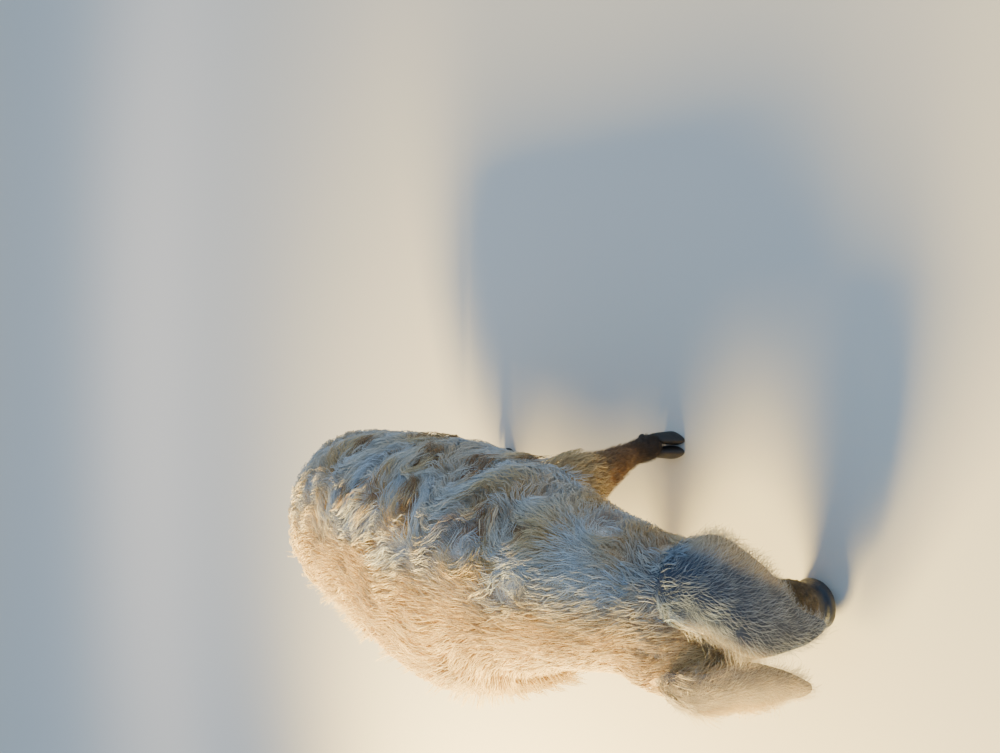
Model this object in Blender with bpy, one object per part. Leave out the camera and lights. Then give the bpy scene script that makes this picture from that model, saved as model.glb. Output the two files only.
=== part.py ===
# A life-size mangalica pig, standing with its head down to feed.
# Metres. +X is forwards, +Y is the pig's left, +Z is up, and the floor is z = 0.

import math
import random

import bmesh
import bpy
from mathutils import Vector
from mathutils.bvhtree import BVHTree

# The whole animal is moved by this, so that its box stands centred on the origin.
CENTRE_SHIFT = (0.017, 0.012, 0.0)
# Gap between two nodes that touch.
GAP = 0.0004

# The coat stands this far off the skin. Its plain core reaches less than half way.
COAT_DEPTH = 0.032
CORE_DEPTH = 0.013

# Trunk, from the rump to the nape. Each row: name, x and z of the widest line, rise above it,
# drop below it, half width, how far the section leans forwards in degrees, and its shift sideways.
TRUNK = [
    ("rump_end", -0.775, 0.478, 0.190, 0.175, 0.200, -8, 0.000),
    ("croup", -0.640, 0.474, 0.222, 0.215, 0.238, -3, 0.004),
    ("ham", -0.460, 0.458, 0.244, 0.218, 0.250, 0, 0.004),
    ("flank", -0.260, 0.432, 0.262, 0.206, 0.262, 0, -0.008),
    ("belly", -0.050, 0.410, 0.268, 0.200, 0.276, 0, -0.024),
    ("girth", 0.130, 0.400, 0.264, 0.184, 0.262, 2, -0.026),
    ("shoulder", 0.290, 0.388, 0.258, 0.156, 0.226, 8, -0.006),
    ("withers", 0.405, 0.406, 0.208, 0.168, 0.172, 18, 0.016),
    ("neck", 0.505, 0.370, 0.176, 0.138, 0.144, 32, 0.024),
    ("nape", 0.600, 0.322, 0.130, 0.108, 0.128, 50, 0.014),
    ("neck_end", 0.650, 0.290, 0.104, 0.090, 0.120, 62, 0.004),
]
RUMP_ROUND = 0.20
RUMP_RINGS = (12, 24, 37, 51, 66, 80)
TRUNK_RINGS = 22
TRUNK_SQUARENESS = 2.2
TRUNK_SIDES = 24
# The coat thins from here forwards to this share of its depth at the poll.
COAT_THINS = (0.36, 0.66, 0.35)

# Head, from the nape to the snout, along its own axis. Each row: name, distance down the axis,
# height of the forehead above it, depth of the jaw below it, half width.
HEAD_ROOT = (0.655, -0.008, 0.372)
HEAD_PITCH = 80
HEAD = [
    ("occiput", -0.070, 0.060, 0.100, 0.098),
    ("nape", -0.040, 0.080, 0.142, 0.120),
    ("poll", 0.000, 0.090, 0.182, 0.134),
    ("brow", 0.055, 0.084, 0.184, 0.140),
    ("eye", 0.105, 0.069, 0.164, 0.132),
    ("cheek", 0.155, 0.054, 0.134, 0.107),
    ("nose", 0.215, 0.043, 0.090, 0.071),
    ("muzzle", 0.275, 0.041, 0.061, 0.053),
    ("lip", 0.322, 0.043, 0.048, 0.046),
    ("nose_end", 0.346, 0.044, 0.044, 0.044),
]
HEAD_SQUARENESS = 2.2
HEAD_SIDES = 20
HEAD_RINGS = 16

# Legs, from inside the trunk down to the pastern. Each row: name, x, y and z of the bone line,
# half length along the body, half width across it. The right legs mirror these.
FORELEG = [
    ("blade", 0.262, 0.118, 0.420, 0.105, 0.078),
    ("upper_arm", 0.268, 0.154, 0.325, 0.100, 0.078),
    ("elbow", 0.266, 0.184, 0.258, 0.082, 0.065),
    ("forearm", 0.276, 0.208, 0.200, 0.058, 0.050),
    ("knee", 0.284, 0.234, 0.148, 0.043, 0.041),
    ("cannon", 0.284, 0.252, 0.103, 0.033, 0.032),
    ("fetlock", 0.290, 0.264, 0.070, 0.038, 0.037),
    ("pastern", 0.302, 0.270, 0.044, 0.036, 0.038),
]
HINDLEG = [
    ("thigh", -0.450, 0.120, 0.420, 0.150, 0.090),
    ("ham", -0.455, 0.138, 0.330, 0.130, 0.086),
    ("stifle", -0.465, 0.148, 0.268, 0.092, 0.068),
    ("shank", -0.500, 0.154, 0.220, 0.060, 0.050),
    ("hock", -0.528, 0.156, 0.176, 0.046, 0.039),
    ("cannon", -0.518, 0.158, 0.122, 0.033, 0.031),
    ("fetlock", -0.504, 0.160, 0.074, 0.038, 0.037),
    ("pastern", -0.490, 0.162, 0.044, 0.036, 0.038),
]
# Each leg: its rows, its side, how far it is set forwards, and what share of the rows' splay it has.
LEGS = {
    "foreleg_left": (FORELEG, 1, -0.022, 1.0),
    "foreleg_right": (FORELEG, -1, -0.030, 0.32),
    "hindleg_left": (HINDLEG, 1, -0.030, 1.0),
    "hindleg_right": (HINDLEG, -1, 0.050, 1.0),
}
LEG_SIDES = 14
LEG_RINGS = 11

# Two claws carry each foot, and two dewclaws stand clear of the floor behind it.
CLAW_LENGTH = 0.070
CLAW_WIDTH = 0.034
CLAW_TOE = 0.010
CLAW_SPREAD = 0.0185
CLAW_FORWARD = 0.012
CLAW_RINGS = ((0.0, 1.00, 0.000), (0.012, 0.99, -0.002), (0.028, 0.88, -0.008), (0.0436, 0.76, -0.015))
DEWCLAW_ROOT = (-0.026, 0.016, 0.064)
DEWCLAW_LENGTH = 0.034
DEWCLAW_LEAN = (-0.55, 0.0, -0.83)
DEWCLAW_RINGS = ((0.0, 0.0090), (0.5, 0.0095), (1.0, 0.0035))

# Snout disc, nostrils, eyes, lids and mouth, placed down the head's axis.
DISC_THICKNESS = 0.018
DISC_RINGS = ((0.0, 0.90), (0.2, 0.99), (0.7, 1.00), (1.0, 0.90))
DISC_HEIGHT = 0.051
DISC_WIDTH = 0.048
NOSTRIL_RADIUS = 0.0085
NOSTRIL_SPACING = 0.020
NOSTRIL_RISE = 0.006
EYE_RADIUS = 0.0135
EYE_PLACE = 0.098
EYE_ANGLE = 62
EYE_SUNK = 0.0075
LID_RADIUS = 0.0052
LID_OPENING = (0.0155, 0.0105)
MOUTH_DROP = 0.026
MOUTH_GAP = 0.0022
MOUTH_BACK = 0.175
LIP_RADIUS = 0.0045

# Ears, from the root over the crest to the tip. Each row: a point on the inner edge, one on the
# rib and one on the outer edge.
EAR_THICKNESS = 0.0065
EAR_STEPS = (11, 8)
EARS = {
    "ear_left": (
        ((0.668, 0.030, 0.385), (0.652, 0.085, 0.372), (0.650, 0.108, 0.325)),
        ((0.715, 0.026, 0.416), (0.705, 0.086, 0.410), (0.690, 0.142, 0.339)),
        ((0.775, -0.002, 0.362), (0.775, 0.085, 0.382), (0.740, 0.157, 0.302)),
        ((0.810, -0.034, 0.303), (0.815, 0.038, 0.288), (0.785, 0.115, 0.255)),
        ((0.812, -0.038, 0.196), (0.815, 0.002, 0.190), (0.795, 0.038, 0.185)),
        ((0.806, -0.022, 0.120), (0.805, -0.009, 0.112), (0.800, 0.004, 0.128)),
    ),
    "ear_right": (
        ((0.668, -0.050, 0.385), (0.652, -0.098, 0.375), (0.640, -0.112, 0.325)),
        ((0.720, -0.068, 0.402), (0.700, -0.094, 0.410), (0.670, -0.112, 0.376)),
        ((0.770, -0.062, 0.373), (0.740, -0.118, 0.377), (0.690, -0.164, 0.304)),
        ((0.790, -0.046, 0.309), (0.775, -0.104, 0.309), (0.705, -0.175, 0.219)),
        ((0.790, -0.075, 0.215), (0.785, -0.110, 0.213), (0.735, -0.170, 0.150)),
        ((0.785, -0.122, 0.126), (0.782, -0.136, 0.120), (0.770, -0.152, 0.128)),
    ),
}

# Tail: its root on the rump, then its fall, how far it stands off, its thickness and its wave.
TAIL_ROOT = (-0.735, 0.010, 0.592)
TAIL_LENGTH = 0.32
TAIL_STAND_OFF = 0.102
TAIL_RADIUS = 0.019
TAIL_WAVE = 0.012

# Locks of the coat: the distance from row to row and from lock to lock, how deep the root sits
# under the core's skin, how much one waves, and the place and breadth of each ring along it.
LOCK_SPACING = 0.126
LOCK_ROOT = 0.011
LOCK_WAVE = 0.012
LOCK_WAVELENGTH = 0.100
LOCK_THINS = 0.85
LONG_RINGS = ((0, 0.8), (0.25, 1.0), (0.52, 0.84), (0.78, 0.48))
CURLY_RINGS = ((0, 0.7), (0.28, 1.0), (0.58, 1.0), (0.84, 0.66))
LONG_LOCK = {"length": 0.178, "width": 0.104, "thick": 0.012, "rings": LONG_RINGS}
CURLY_LOCK = {"length": 0.140, "width": 0.112, "thick": 0.020, "rings": CURLY_RINGS}
CURLY_BEHIND = -0.42
# The lie of the coat: its angle off straight back at the spine, on the flank and under the belly.
LIE = ((0, 6), (40, 26), (90, 54), (130, 70), (180, 30))
RUMP_ROWS = (24, 52, 78)
# How much one lock differs from the next: round the trunk, along it, in length, width, turn and lift.
LOCK_STRAYS = {"round": 0.12, "along": 0.1, "length": 0.14, "width": 0.11, "turn": 0.14, "lift": 0.16}
LOCK_SEED = 7
# A lock that would cross itself in a bend is made this much narrower, step by step.
LOCK_NARROWED = (1.0, 0.8, 0.65, 0.5, 0.35)

# Tuft of the tail: where along it the locks grow, how many stand round it, and their size.
TUFT_ROWS = (0.58, 0.84)
TUFT_COUNT = 3
TUFT_LOCK = {"length": 0.085, "width": 0.024, "thick": 0.008, "spread": 0.012}

# Straight cuts between torso, neck and head: a point on each and its lean in degrees.
NECK_CUT = (0.400, 0.0, 0.412, 18)
HEAD_CUT = (0.612, 0.0, 0.320, 52)


def clear_scene():
    for obj in list(bpy.data.objects):
        bpy.data.objects.remove(obj, do_unlink=True)


def make_material(name, colour, roughness):
    material = bpy.data.materials.new(name)
    material.use_nodes = True
    shader = material.node_tree.nodes["Principled BSDF"]
    shader.inputs["Base Color"].default_value = (*colour, 1.0)
    shader.inputs["Roughness"].default_value = roughness
    return material


def add_object(name, mesh, material=None):
    obj = bpy.data.objects.new(name, mesh)
    bpy.context.scene.collection.objects.link(obj)
    if material:
        obj.data.materials.clear()
        obj.data.materials.append(material)
    return obj


def smooth_value(rows, column, at):
    """A column's value at a place between rows, on a smooth curve through them."""
    keys = [row[1] for row in rows]
    last = len(rows) - 1
    i = min(max(sum(k <= at for k in keys) - 1, 0), last - 1)

    def slope(j):
        a, b = max(j - 1, 0), min(j + 1, last)
        return (rows[b][column] - rows[a][column]) / (keys[b] - keys[a])

    width = keys[i + 1] - keys[i]
    t = min(max((at - keys[i]) / width, 0.0), 1.0)
    here, there = rows[i][column], rows[i + 1][column]
    return (
        here * (1 + 2 * t) * (1 - t) ** 2
        + slope(i) * width * t * (1 - t) ** 2
        + there * t * t * (3 - 2 * t)
        - slope(i + 1) * width * t * t * (1 - t)
    )


def oval(angle, rise, drop, half, squareness):
    """Sideways and upward reach of a section at an angle from its top, as a superellipse."""
    c, s = math.cos(angle), math.sin(angle)
    power = 2 / squareness
    side = math.copysign(abs(s) ** power, s) * half
    up = math.copysign(abs(c) ** power, c) * (rise if c > 0 else drop)
    return side, up


def coat_share(x):
    """How much of the coat's depth there is at a station x."""
    start, end, least = COAT_THINS
    t = min(max((x - start) / (end - start), 0.0), 1.0)
    return 1 - (1 - least) * t


def trunk_point(x, angle, lift=0.0):
    """A point of the trunk's skin, at a station x and an angle from the spine, lifted off it."""
    lift *= coat_share(x)
    z, rise, drop, half, lean, shift = (smooth_value(TRUNK, column, x) for column in range(2, 8))
    reach = min(max((x - TRUNK[0][1]) / RUMP_ROUND, 0.0), 1.0)
    full = math.sqrt(max(1 - (1 - reach) ** 2, 0.0))
    side, up = oval(angle, rise * full + lift, drop * full + lift, half * full + lift, TRUNK_SQUARENESS)
    tilt = math.radians(lean)
    back = lift * (1 - reach) ** 2
    return Vector((x + up * math.sin(tilt) - back, shift + side, z + up * math.cos(tilt)))


def angles(count):
    return [2 * math.pi * i / count for i in range(count)]


def loft(name, rings, material=None):
    """A closed solid through rings of points, each end closed by a fan to its middle."""
    mesh = bmesh.new()
    made = [[mesh.verts.new(point) for point in ring] for ring in rings]
    count = len(rings[0])
    for ring, following in zip(made, made[1:]):
        for i in range(count):
            j = (i + 1) % count
            mesh.faces.new((ring[i], ring[j], following[j]))
            mesh.faces.new((ring[i], following[j], following[i]))
    for ring in (made[0], made[-1]):
        middle = mesh.verts.new(sum((v.co for v in ring), Vector()) / count)
        for i in range(count):
            mesh.faces.new((ring[i], ring[(i + 1) % count], middle))
    return solid_from(name, mesh, material)


def solid_from(name, mesh, material=None):
    bmesh.ops.recalc_face_normals(mesh, faces=mesh.faces)
    data = bpy.data.meshes.new(name)
    mesh.to_mesh(data)
    mesh.free()
    return add_object(name, data, material)


def trunk_solid(name, lift, material=None):
    start, end = TRUNK[0][1], TRUNK[-1][1]
    cap = [start + RUMP_ROUND * (1 - math.cos(math.radians(a))) for a in RUMP_RINGS]
    length = end - start - RUMP_ROUND
    rest = [start + RUMP_ROUND + length * i / TRUNK_RINGS for i in range(TRUNK_RINGS + 1)]
    rings = [[trunk_point(x, a, lift) for a in angles(TRUNK_SIDES)] for x in cap + rest]
    return loft(name, rings, material)


def lie_angle(angle):
    """How far the hair turns down from straight back, at an angle from the spine."""
    around = abs(math.degrees(angle))
    for (a, turn), (b, next_turn) in zip(LIE, LIE[1:]):
        if around <= b:
            return math.radians(turn + (next_turn - turn) * (around - a) / (b - a))
    return math.radians(LIE[-1][1])


def lock_rings(kind, x, angle, heading, phase, depth):
    """Three-sided rings of one lock, laid along the trunk's skin from its root to its tip."""
    _, _, half, full = section_size(x)
    side = 1 if angle >= 0 else -1
    rings = []
    for share, breadth in (*kind["rings"], (1.0, 0.0)):
        run = kind["length"] * share
        sway = LOCK_WAVE * share * math.sin(2 * math.pi * run / LOCK_WAVELENGTH + phase)
        back = run * math.cos(heading) - sway * math.sin(heading)
        down = run * math.sin(heading) + sway * math.cos(heading)
        root = CORE_DEPTH - LOCK_ROOT
        lift = root + (depth - root) * math.sin(math.pi / 2 * min(share * 1.35, 1.0))
        thick = kind["thick"] * (1 - LOCK_THINS * share)
        ring = []
        for across, up in ((-1, -0.5), (0, 0.5), (1, -0.5)):
            off = across * kind["width"] / 2 * breadth
            px = max(x - (back - off * math.sin(heading)) * full, TRUNK[0][1] + 0.002)
            pa = angle + side * (down + off * math.cos(heading)) / half
            ring.append(trunk_point(px, pa, lift + up * thick))
        rings.append(ring)
    return rings


def lock_mesh(rings):
    """A closed lock whose last ring is its tip."""
    mesh = bmesh.new()
    made = [[mesh.verts.new(point) for point in ring] for ring in rings[:-1]]
    tip = mesh.verts.new(sum(rings[-1], Vector()) / len(rings[-1]))
    count = len(made[0])
    for ring, following in zip(made, made[1:]):
        for i in range(count):
            j = (i + 1) % count
            mesh.faces.new((ring[i], ring[j], following[j]))
            mesh.faces.new((ring[i], following[j], following[i]))
    for i in range(count):
        mesh.faces.new((made[-1][i], made[-1][(i + 1) % count], tip))
    mesh.faces.new(made[0])
    return mesh


def crosses_itself(mesh):
    tree = BVHTree.FromBMesh(mesh)
    mesh.faces.ensure_lookup_table()
    corners = [set(face.verts) for face in mesh.faces]
    return any(not corners[a] & corners[b] for a, b in tree.overlap(tree))


def section_size(x):
    """Rise, drop and half width of the trunk at a station, and how full the rump's round is there."""
    reach = min(max((x - TRUNK[0][1]) / RUMP_ROUND, 0.03), 1.0)
    full = math.sqrt(1 - (1 - reach) ** 2)
    rise, drop, half = (smooth_value(TRUNK, column, x) * full for column in (3, 4, 5))
    return rise, drop, half, full


def lock_stations():
    """The places of the rows of locks, from the rump to the nape."""
    start = TRUNK[0][1]
    rows = [start + RUMP_ROUND * (1 - math.cos(math.radians(a))) for a in RUMP_ROWS]
    at = start + RUMP_ROUND + LOCK_SPACING / 2
    while at < HEAD_CUT[0] + 0.03:
        rows.append(at)
        at += LOCK_SPACING
    return rows


def trunk_locks(material):
    """All the locks of torso and neck, row by row, each row set between those of the last."""
    draw = random.Random(LOCK_SEED)

    def stray(name):
        return draw.uniform(-1, 1) * LOCK_STRAYS[name]

    locks = []
    for row, x in enumerate(lock_stations()):
        rise, drop, half, full = section_size(x)
        girth = 2 * math.pi * math.sqrt((half**2 + ((rise + drop) / 2) ** 2) / 2)
        count = max(round(girth / LOCK_SPACING), 4)
        for i in range(count):
            angle = 2 * math.pi * (i + 0.5 * (row % 2) + stray("round")) / count
            angle = (angle + math.pi) % (2 * math.pi) - math.pi
            kind = dict(CURLY_LOCK if x < CURLY_BEHIND else LONG_LOCK)
            kind["length"] *= (0.6 + 0.4 * coat_share(x)) * (1 + stray("length"))
            kind["width"] *= 1 + stray("width")
            kind["thick"] *= 0.4 + 0.6 * coat_share(x)
            heading = lie_angle(angle) + stray("turn")
            heading += (abs(angle) - heading) * (1 - full)
            depth = COAT_DEPTH * (1 - abs(stray("lift")))
            place = x + stray("along") * LOCK_SPACING * full
            width = kind["width"]
            for share in LOCK_NARROWED:
                kind["width"] = width * share
                lock = lock_mesh(lock_rings(kind, place, angle, heading, x * 9 + angle * 2, depth))
                if not crosses_itself(lock):
                    locks.append(solid_from("lock", lock, material))
                    break
    return locks


def join_all(target, pieces):
    """One union of a node with all that grows from it."""
    group = bpy.data.collections.new("pieces")
    bpy.context.scene.collection.children.link(group)
    for piece in pieces:
        group.objects.link(piece)
    apply_boolean(target, "UNION", group)
    keep_largest(target)


def head_axes():
    pitch = math.radians(HEAD_PITCH)
    along = Vector((math.cos(pitch), 0, -math.sin(pitch)))
    up = Vector((math.sin(pitch), 0, math.cos(pitch)))
    return along, up


def head_place(at, rise, side):
    """A point of the head, by its distance down the axis, its height off it and its side."""
    along, up = head_axes()
    return Vector(HEAD_ROOT) + along * at + up * rise + Vector((0, side, 0))


def head_point(at, angle, lift=0.0):
    rise, drop, half = (smooth_value(HEAD, column, at) for column in range(2, 5))
    side, up = oval(angle, rise + lift, drop + lift, half + lift, HEAD_SQUARENESS)
    return head_place(at, up, side)


def head_solid(name, material=None, lift=0.0):
    start, end = HEAD[0][1], HEAD[-1][1]
    places = [start + (end - start) * i / HEAD_RINGS for i in range(HEAD_RINGS + 1)]
    return loft(name, [[head_point(p, a, lift) for a in angles(HEAD_SIDES)] for p in places], material)


def snout_disc(name, material):
    """The flat oval plate at the end of the nose, with two nostrils, trimmed flat on the floor."""
    start = HEAD[-1][1] + GAP
    rings = []
    for share, scale in DISC_RINGS:
        ring = []
        for a in angles(16):
            height, half = DISC_HEIGHT * scale, DISC_WIDTH * scale
            side, up = oval(a, height, height, half, HEAD_SQUARENESS)
            ring.append(head_place(start + DISC_THICKNESS * share, up, side))
        rings.append(ring)
    disc = loft(name, rings, material)
    along, _ = head_axes()
    for side in (1, -1):
        mouth = head_place(start + DISC_THICKNESS, NOSTRIL_RISE, side * NOSTRIL_SPACING)
        hole = ball("nostril", (0, 0, 0), NOSTRIL_RADIUS, (1.25, 0.85, 1.0), 10, 6)
        turn = along.to_track_quat("X", "Z")
        for vert in hole.data.vertices:
            vert.co = mouth + turn @ vert.co
        apply_boolean(disc, "DIFFERENCE", hole)
    trim_below_floor(disc)
    return disc


def trim_below_floor(obj):
    bpy.ops.mesh.primitive_cube_add(size=4.0, location=(0, 0, -2.0))
    block = bpy.context.active_object
    bpy.context.view_layer.update()
    apply_boolean(obj, "DIFFERENCE", block)


def head_block(name, first, last, bottom, top):
    """A block in the head's own directions, wider than the head."""
    bpy.ops.mesh.primitive_cube_add(size=1.0)
    block = bpy.context.active_object
    block.name = name
    for vert in block.data.vertices:
        x, y, z = (c + 0.5 for c in vert.co)
        vert.co = head_place(first + (last - first) * x, bottom + (top - bottom) * z, (y - 0.5) * 0.6)
    return block


def across_head(point):
    """The same place on the other side of the head."""
    return Vector((point.x, 2 * HEAD_ROOT[1] - point.y, point.z))


def mouth_angle(at, drop):
    """The angle round the head's section where its surface is this far below the axis."""
    depth = smooth_value(HEAD, 3, at)
    share = min(drop / depth, 0.98) ** (HEAD_SQUARENESS / 2)
    return math.pi - math.acos(share)


def lip_solid(name, drop, side):
    """A soft roll along one side of the mouth, a lip's radius off its line."""
    first, last = MOUTH_BACK - 0.008, HEAD[-1][1] - 0.006
    _, up = head_axes()
    rings = []
    for i in range(6):
        at = first + (last - first) * i / 5
        middle = head_point(at, mouth_angle(at, drop))
        across = (middle - head_point(at, mouth_angle(at, drop), -0.01)).normalized()
        radius = LIP_RADIUS * (0.45 if i in (0, 5) else 1.0)
        ring = [middle + (across * math.cos(a) + up * math.sin(a)) * radius for a in angles(5)]
        rings.append(ring if side > 0 else [across_head(point) for point in ring])
    return loft(name, rings)


def eye_centre(side):
    surface = head_point(EYE_PLACE, math.radians(EYE_ANGLE))
    outward = (surface - head_point(EYE_PLACE, math.radians(EYE_ANGLE), -0.02)).normalized()
    centre = surface - outward * EYE_SUNK
    if side < 0:
        centre, outward = across_head(centre), Vector((outward.x, -outward.y, outward.z))
    return centre, outward


def lid_ring(name, side):
    """A thick oval ring of lid round the eye."""
    centre, outward = eye_centre(side)
    along, _ = head_axes()
    across = outward.cross(along).normalized()
    level = across.cross(outward).normalized()
    rings = []
    steps = 12
    for a in angles(steps):
        middle = centre + outward * 0.0085
        middle += level * math.cos(a) * LID_OPENING[0] + across * math.sin(a) * LID_OPENING[1]
        radial = (level * math.cos(a) + across * math.sin(a)).normalized()
        round_lid = [radial * math.cos(b) + outward * math.sin(b) for b in angles(5)]
        rings.append([middle + way * LID_RADIUS for way in round_lid])
    mesh = bmesh.new()
    made = [[mesh.verts.new(p) for p in ring] for ring in rings]
    for i in range(steps):
        ring, following = made[i], made[(i + 1) % steps]
        for j in range(5):
            k = (j + 1) % 5
            mesh.faces.new((ring[j], ring[k], following[k], following[j]))
    return solid_from(name, mesh)


def leg_centre(rows, row, side, shift, splay):
    """The middle of one of a leg's rows, on its side, with its stride and splay."""
    _, x, y, z = row[:4]
    return x + shift, side * (rows[0][2] + (y - rows[0][2]) * splay), z


def leg_solid(name, leg, material=None, lift=0.0):
    rows, side, shift, splay = LEGS[leg]
    falling = [(row[0], -row[3], *leg_centre(rows, row, side, shift, splay)[:2], *row[4:]) for row in rows]
    rings = []
    for i in range(LEG_RINGS + 1):
        z = rows[0][3] + (rows[-1][3] - rows[0][3]) * i / LEG_RINGS
        x, y, length, width = (smooth_value(falling, column, -z) for column in range(2, 6))
        ring = []
        for a in angles(LEG_SIDES):
            ring.append(Vector((x + (length + lift) * math.cos(a), y + (width + lift) * math.sin(a), z)))
        rings.append(ring)
    return loft(name, rings, material)


def claw_solid(name, x, y, away, material):
    """One half of a cloven foot: flat sole, blunt pointed toe, narrower at the coronet."""
    rings = []
    for height, scale, back in CLAW_RINGS:
        ring = []
        for a in angles(10):
            toe = max(math.cos(a), 0.0)
            along = CLAW_LENGTH / 2 * scale * math.cos(a) + back + CLAW_TOE * toe**3
            across = CLAW_WIDTH / 2 * scale * math.sin(a) * (1 - 0.35 * toe**2)
            ring.append(Vector((x + along, y + across - away * 0.004 * toe, height)))
        rings.append(ring)
    return loft(name, rings, material)


def dewclaw_solid(name, x, y, material):
    """A small horn point behind the fetlock, clear of the floor."""
    lean = Vector(DEWCLAW_LEAN).normalized()
    root = Vector((x, y, DEWCLAW_ROOT[2]))
    rings = []
    for share, radius in DEWCLAW_RINGS:
        centre = root + lean * DEWCLAW_LENGTH * share
        rings.append([centre + Vector((radius * math.cos(a), radius * math.sin(a), 0)) for a in angles(6)])
    return loft(name, rings, material)


def ear_point(rows, u, v):
    """A point of the ear's back: u from root to tip, v from the inner edge to the outer."""
    keyed = [(None, i, *(c for point in row for c in point)) for i, row in enumerate(rows)]
    at = u * (len(rows) - 1)
    values = [smooth_value(keyed, column, at) for column in range(2, 11)]
    inner, rib, outer = (Vector(values[i : i + 3]) for i in (0, 3, 6))
    return inner * (v * (v - 1) / 2) + rib * (1 - v * v) + outer * (v * (v + 1) / 2)


def ear_face(rows, u, v, depth):
    """The point this deep under the ear's back, on its cupped side."""
    du = ear_point(rows, min(u + 0.01, 1), v) - ear_point(rows, max(u - 0.01, 0), v)
    dv = ear_point(rows, u, min(v + 0.02, 1)) - ear_point(rows, u, max(v - 0.02, -1))
    normal = du.cross(dv).normalized()
    if rows[0][0][1] > rows[0][2][1]:
        normal = -normal
    return ear_point(rows, u, v) + normal * depth


def ear_solid(name, net, material):
    """A long drooping leaf, cupped towards the face."""
    rows, columns = EAR_STEPS
    mesh = bmesh.new()
    grids = []
    for inner in (False, True):
        grid = []
        for i in range(rows + 1):
            u = i / rows
            line = []
            for j in range(columns + 1):
                v = -1 + 2 * j / columns
                depth = EAR_THICKNESS * (1 - 0.35 * u) * (1 - 0.45 * v * v) if inner else 0.0
                line.append(mesh.verts.new(ear_face(net, u, v, depth)))
            grid.append(line)
        grids.append(grid)
    outer, cup = grids
    for i in range(rows):
        for j in range(columns):
            for grid in grids:
                a, b, c, d = grid[i][j], grid[i + 1][j], grid[i + 1][j + 1], grid[i][j + 1]
                mesh.faces.new((a, b, c))
                mesh.faces.new((a, c, d))
    edge = [(0, j) for j in range(columns)]
    edge += [(i, columns) for i in range(rows)]
    edge += [(rows, j) for j in range(columns, 0, -1)]
    edge += [(i, 0) for i in range(rows, 0, -1)]
    for (i, j), (k, m) in zip(edge, edge[1:] + edge[:1]):
        mesh.faces.new((outer[i][j], outer[k][m], cup[k][m], cup[i][j]))
    return solid_from(name, mesh, material)


def tail_point(share):
    """The tail's middle, out from the rump and down behind it in a slack wave."""
    out = math.sin(min(share * 3.0, 1.0) * math.pi / 2)
    sway = TAIL_WAVE * math.sin(share * 6.0)
    return Vector(TAIL_ROOT) + Vector((-TAIL_STAND_OFF * out, sway, -TAIL_LENGTH * share**1.5))


def tail_frame(share):
    """The tail's middle, thickness and two directions across it, at a share of its length."""
    run = (tail_point(min(share + 0.03, 1.0)) - tail_point(max(share - 0.03, 0.0))).normalized()
    side = run.cross(Vector((1, 0, 0.2))).normalized()
    return tail_point(share), TAIL_RADIUS * (1 - 0.55 * share), side, side.cross(run), run


def tail_solid(name, material=None, lift=0.0):
    rings = []
    steps = 12
    for i in range(steps + 1):
        middle, radius, side, across, _ = tail_frame(i / steps)
        radius += lift
        rings.append([middle + (side * math.cos(a) + across * math.sin(a)) * radius for a in angles(10)])
    return loft(name, rings, material)


def tail_locks(material):
    """The tuft: locks round the lower half of the tail, hanging down past its end."""
    locks = []
    for row, share in enumerate(TUFT_ROWS):
        for i in range(TUFT_COUNT):
            middle, radius, side, across, run = tail_frame(share)
            turn = 2 * math.pi * (i + 0.5 * (row % 2)) / TUFT_COUNT
            out = side * math.cos(turn) + across * math.sin(turn)
            flat = run.cross(out)
            rings = []
            for place, breadth in (*LONG_LOCK["rings"], (1.0, 0.0)):
                stand = radius - TUFT_LOCK["thick"] * 0.7 + TUFT_LOCK["spread"] * math.sin(math.pi * place)
                spot = middle + run * TUFT_LOCK["length"] * place + out * stand
                half = flat * TUFT_LOCK["width"] / 2 * breadth
                thick = out * TUFT_LOCK["thick"] * (1 - LOCK_THINS * place)
                rings.append([spot - half, spot + thick, spot + half])
            locks.append(solid_from("tuft", lock_mesh(rings), material))
    return locks


def apply_boolean(target, operation, operand, solver="MANIFOLD"):
    """Joins or cuts with an object or a collection, applies it, and removes the operand."""
    modifier = target.modifiers.new(operation, "BOOLEAN")
    modifier.operation = operation
    modifier.solver = solver
    is_collection = isinstance(operand, bpy.types.Collection)
    modifier.operand_type = "COLLECTION" if is_collection else "OBJECT"
    if is_collection:
        modifier.collection = operand
    else:
        modifier.object = operand
    graph = bpy.context.evaluated_depsgraph_get()
    result = bpy.data.meshes.new_from_object(target.evaluated_get(graph))
    target.modifiers.clear()
    target.data = result
    for obj in list(operand.objects) if is_collection else [operand]:
        bpy.data.objects.remove(obj, do_unlink=True)
    if is_collection:
        bpy.data.collections.remove(operand)


def keep_largest(obj):
    """Drops every loose shell but the largest."""
    mesh = bmesh.new()
    mesh.from_mesh(obj.data)
    left = set(mesh.verts)
    shells = []
    while left:
        shell, edge = set(), [next(iter(left))]
        while edge:
            vert = edge.pop()
            if vert in shell:
                continue
            shell.add(vert)
            edge.extend(e.other_vert(vert) for e in vert.link_edges)
        left -= shell
        shells.append(shell)
    largest = max(shells, key=len)
    bmesh.ops.delete(mesh, geom=[v for v in mesh.verts if v not in largest], context="VERTS")
    mesh.to_mesh(obj.data)
    mesh.free()


def slab(point, lean, before):
    """A large block whose near face is the cut plane, on the side behind it or before it."""
    bpy.ops.mesh.primitive_cube_add(size=2.0)
    block = bpy.context.active_object
    turn = math.radians(lean)
    normal = Vector((math.cos(turn), 0, -math.sin(turn)))
    centre = Vector(point) + normal * (1 - GAP / 2) * (1 if before else -1)
    mesh = block.data
    for vert in mesh.vertices:
        x, y, z = vert.co
        vert.co = centre + normal * x + Vector((0, y, 0)) + Vector((math.sin(turn), 0, math.cos(turn))) * z
    return block


def part_off(solid, cut, before):
    """Takes away all that lies before or behind a straight cut."""
    apply_boolean(solid, "DIFFERENCE", slab(cut[:3], cut[3], before))


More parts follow.
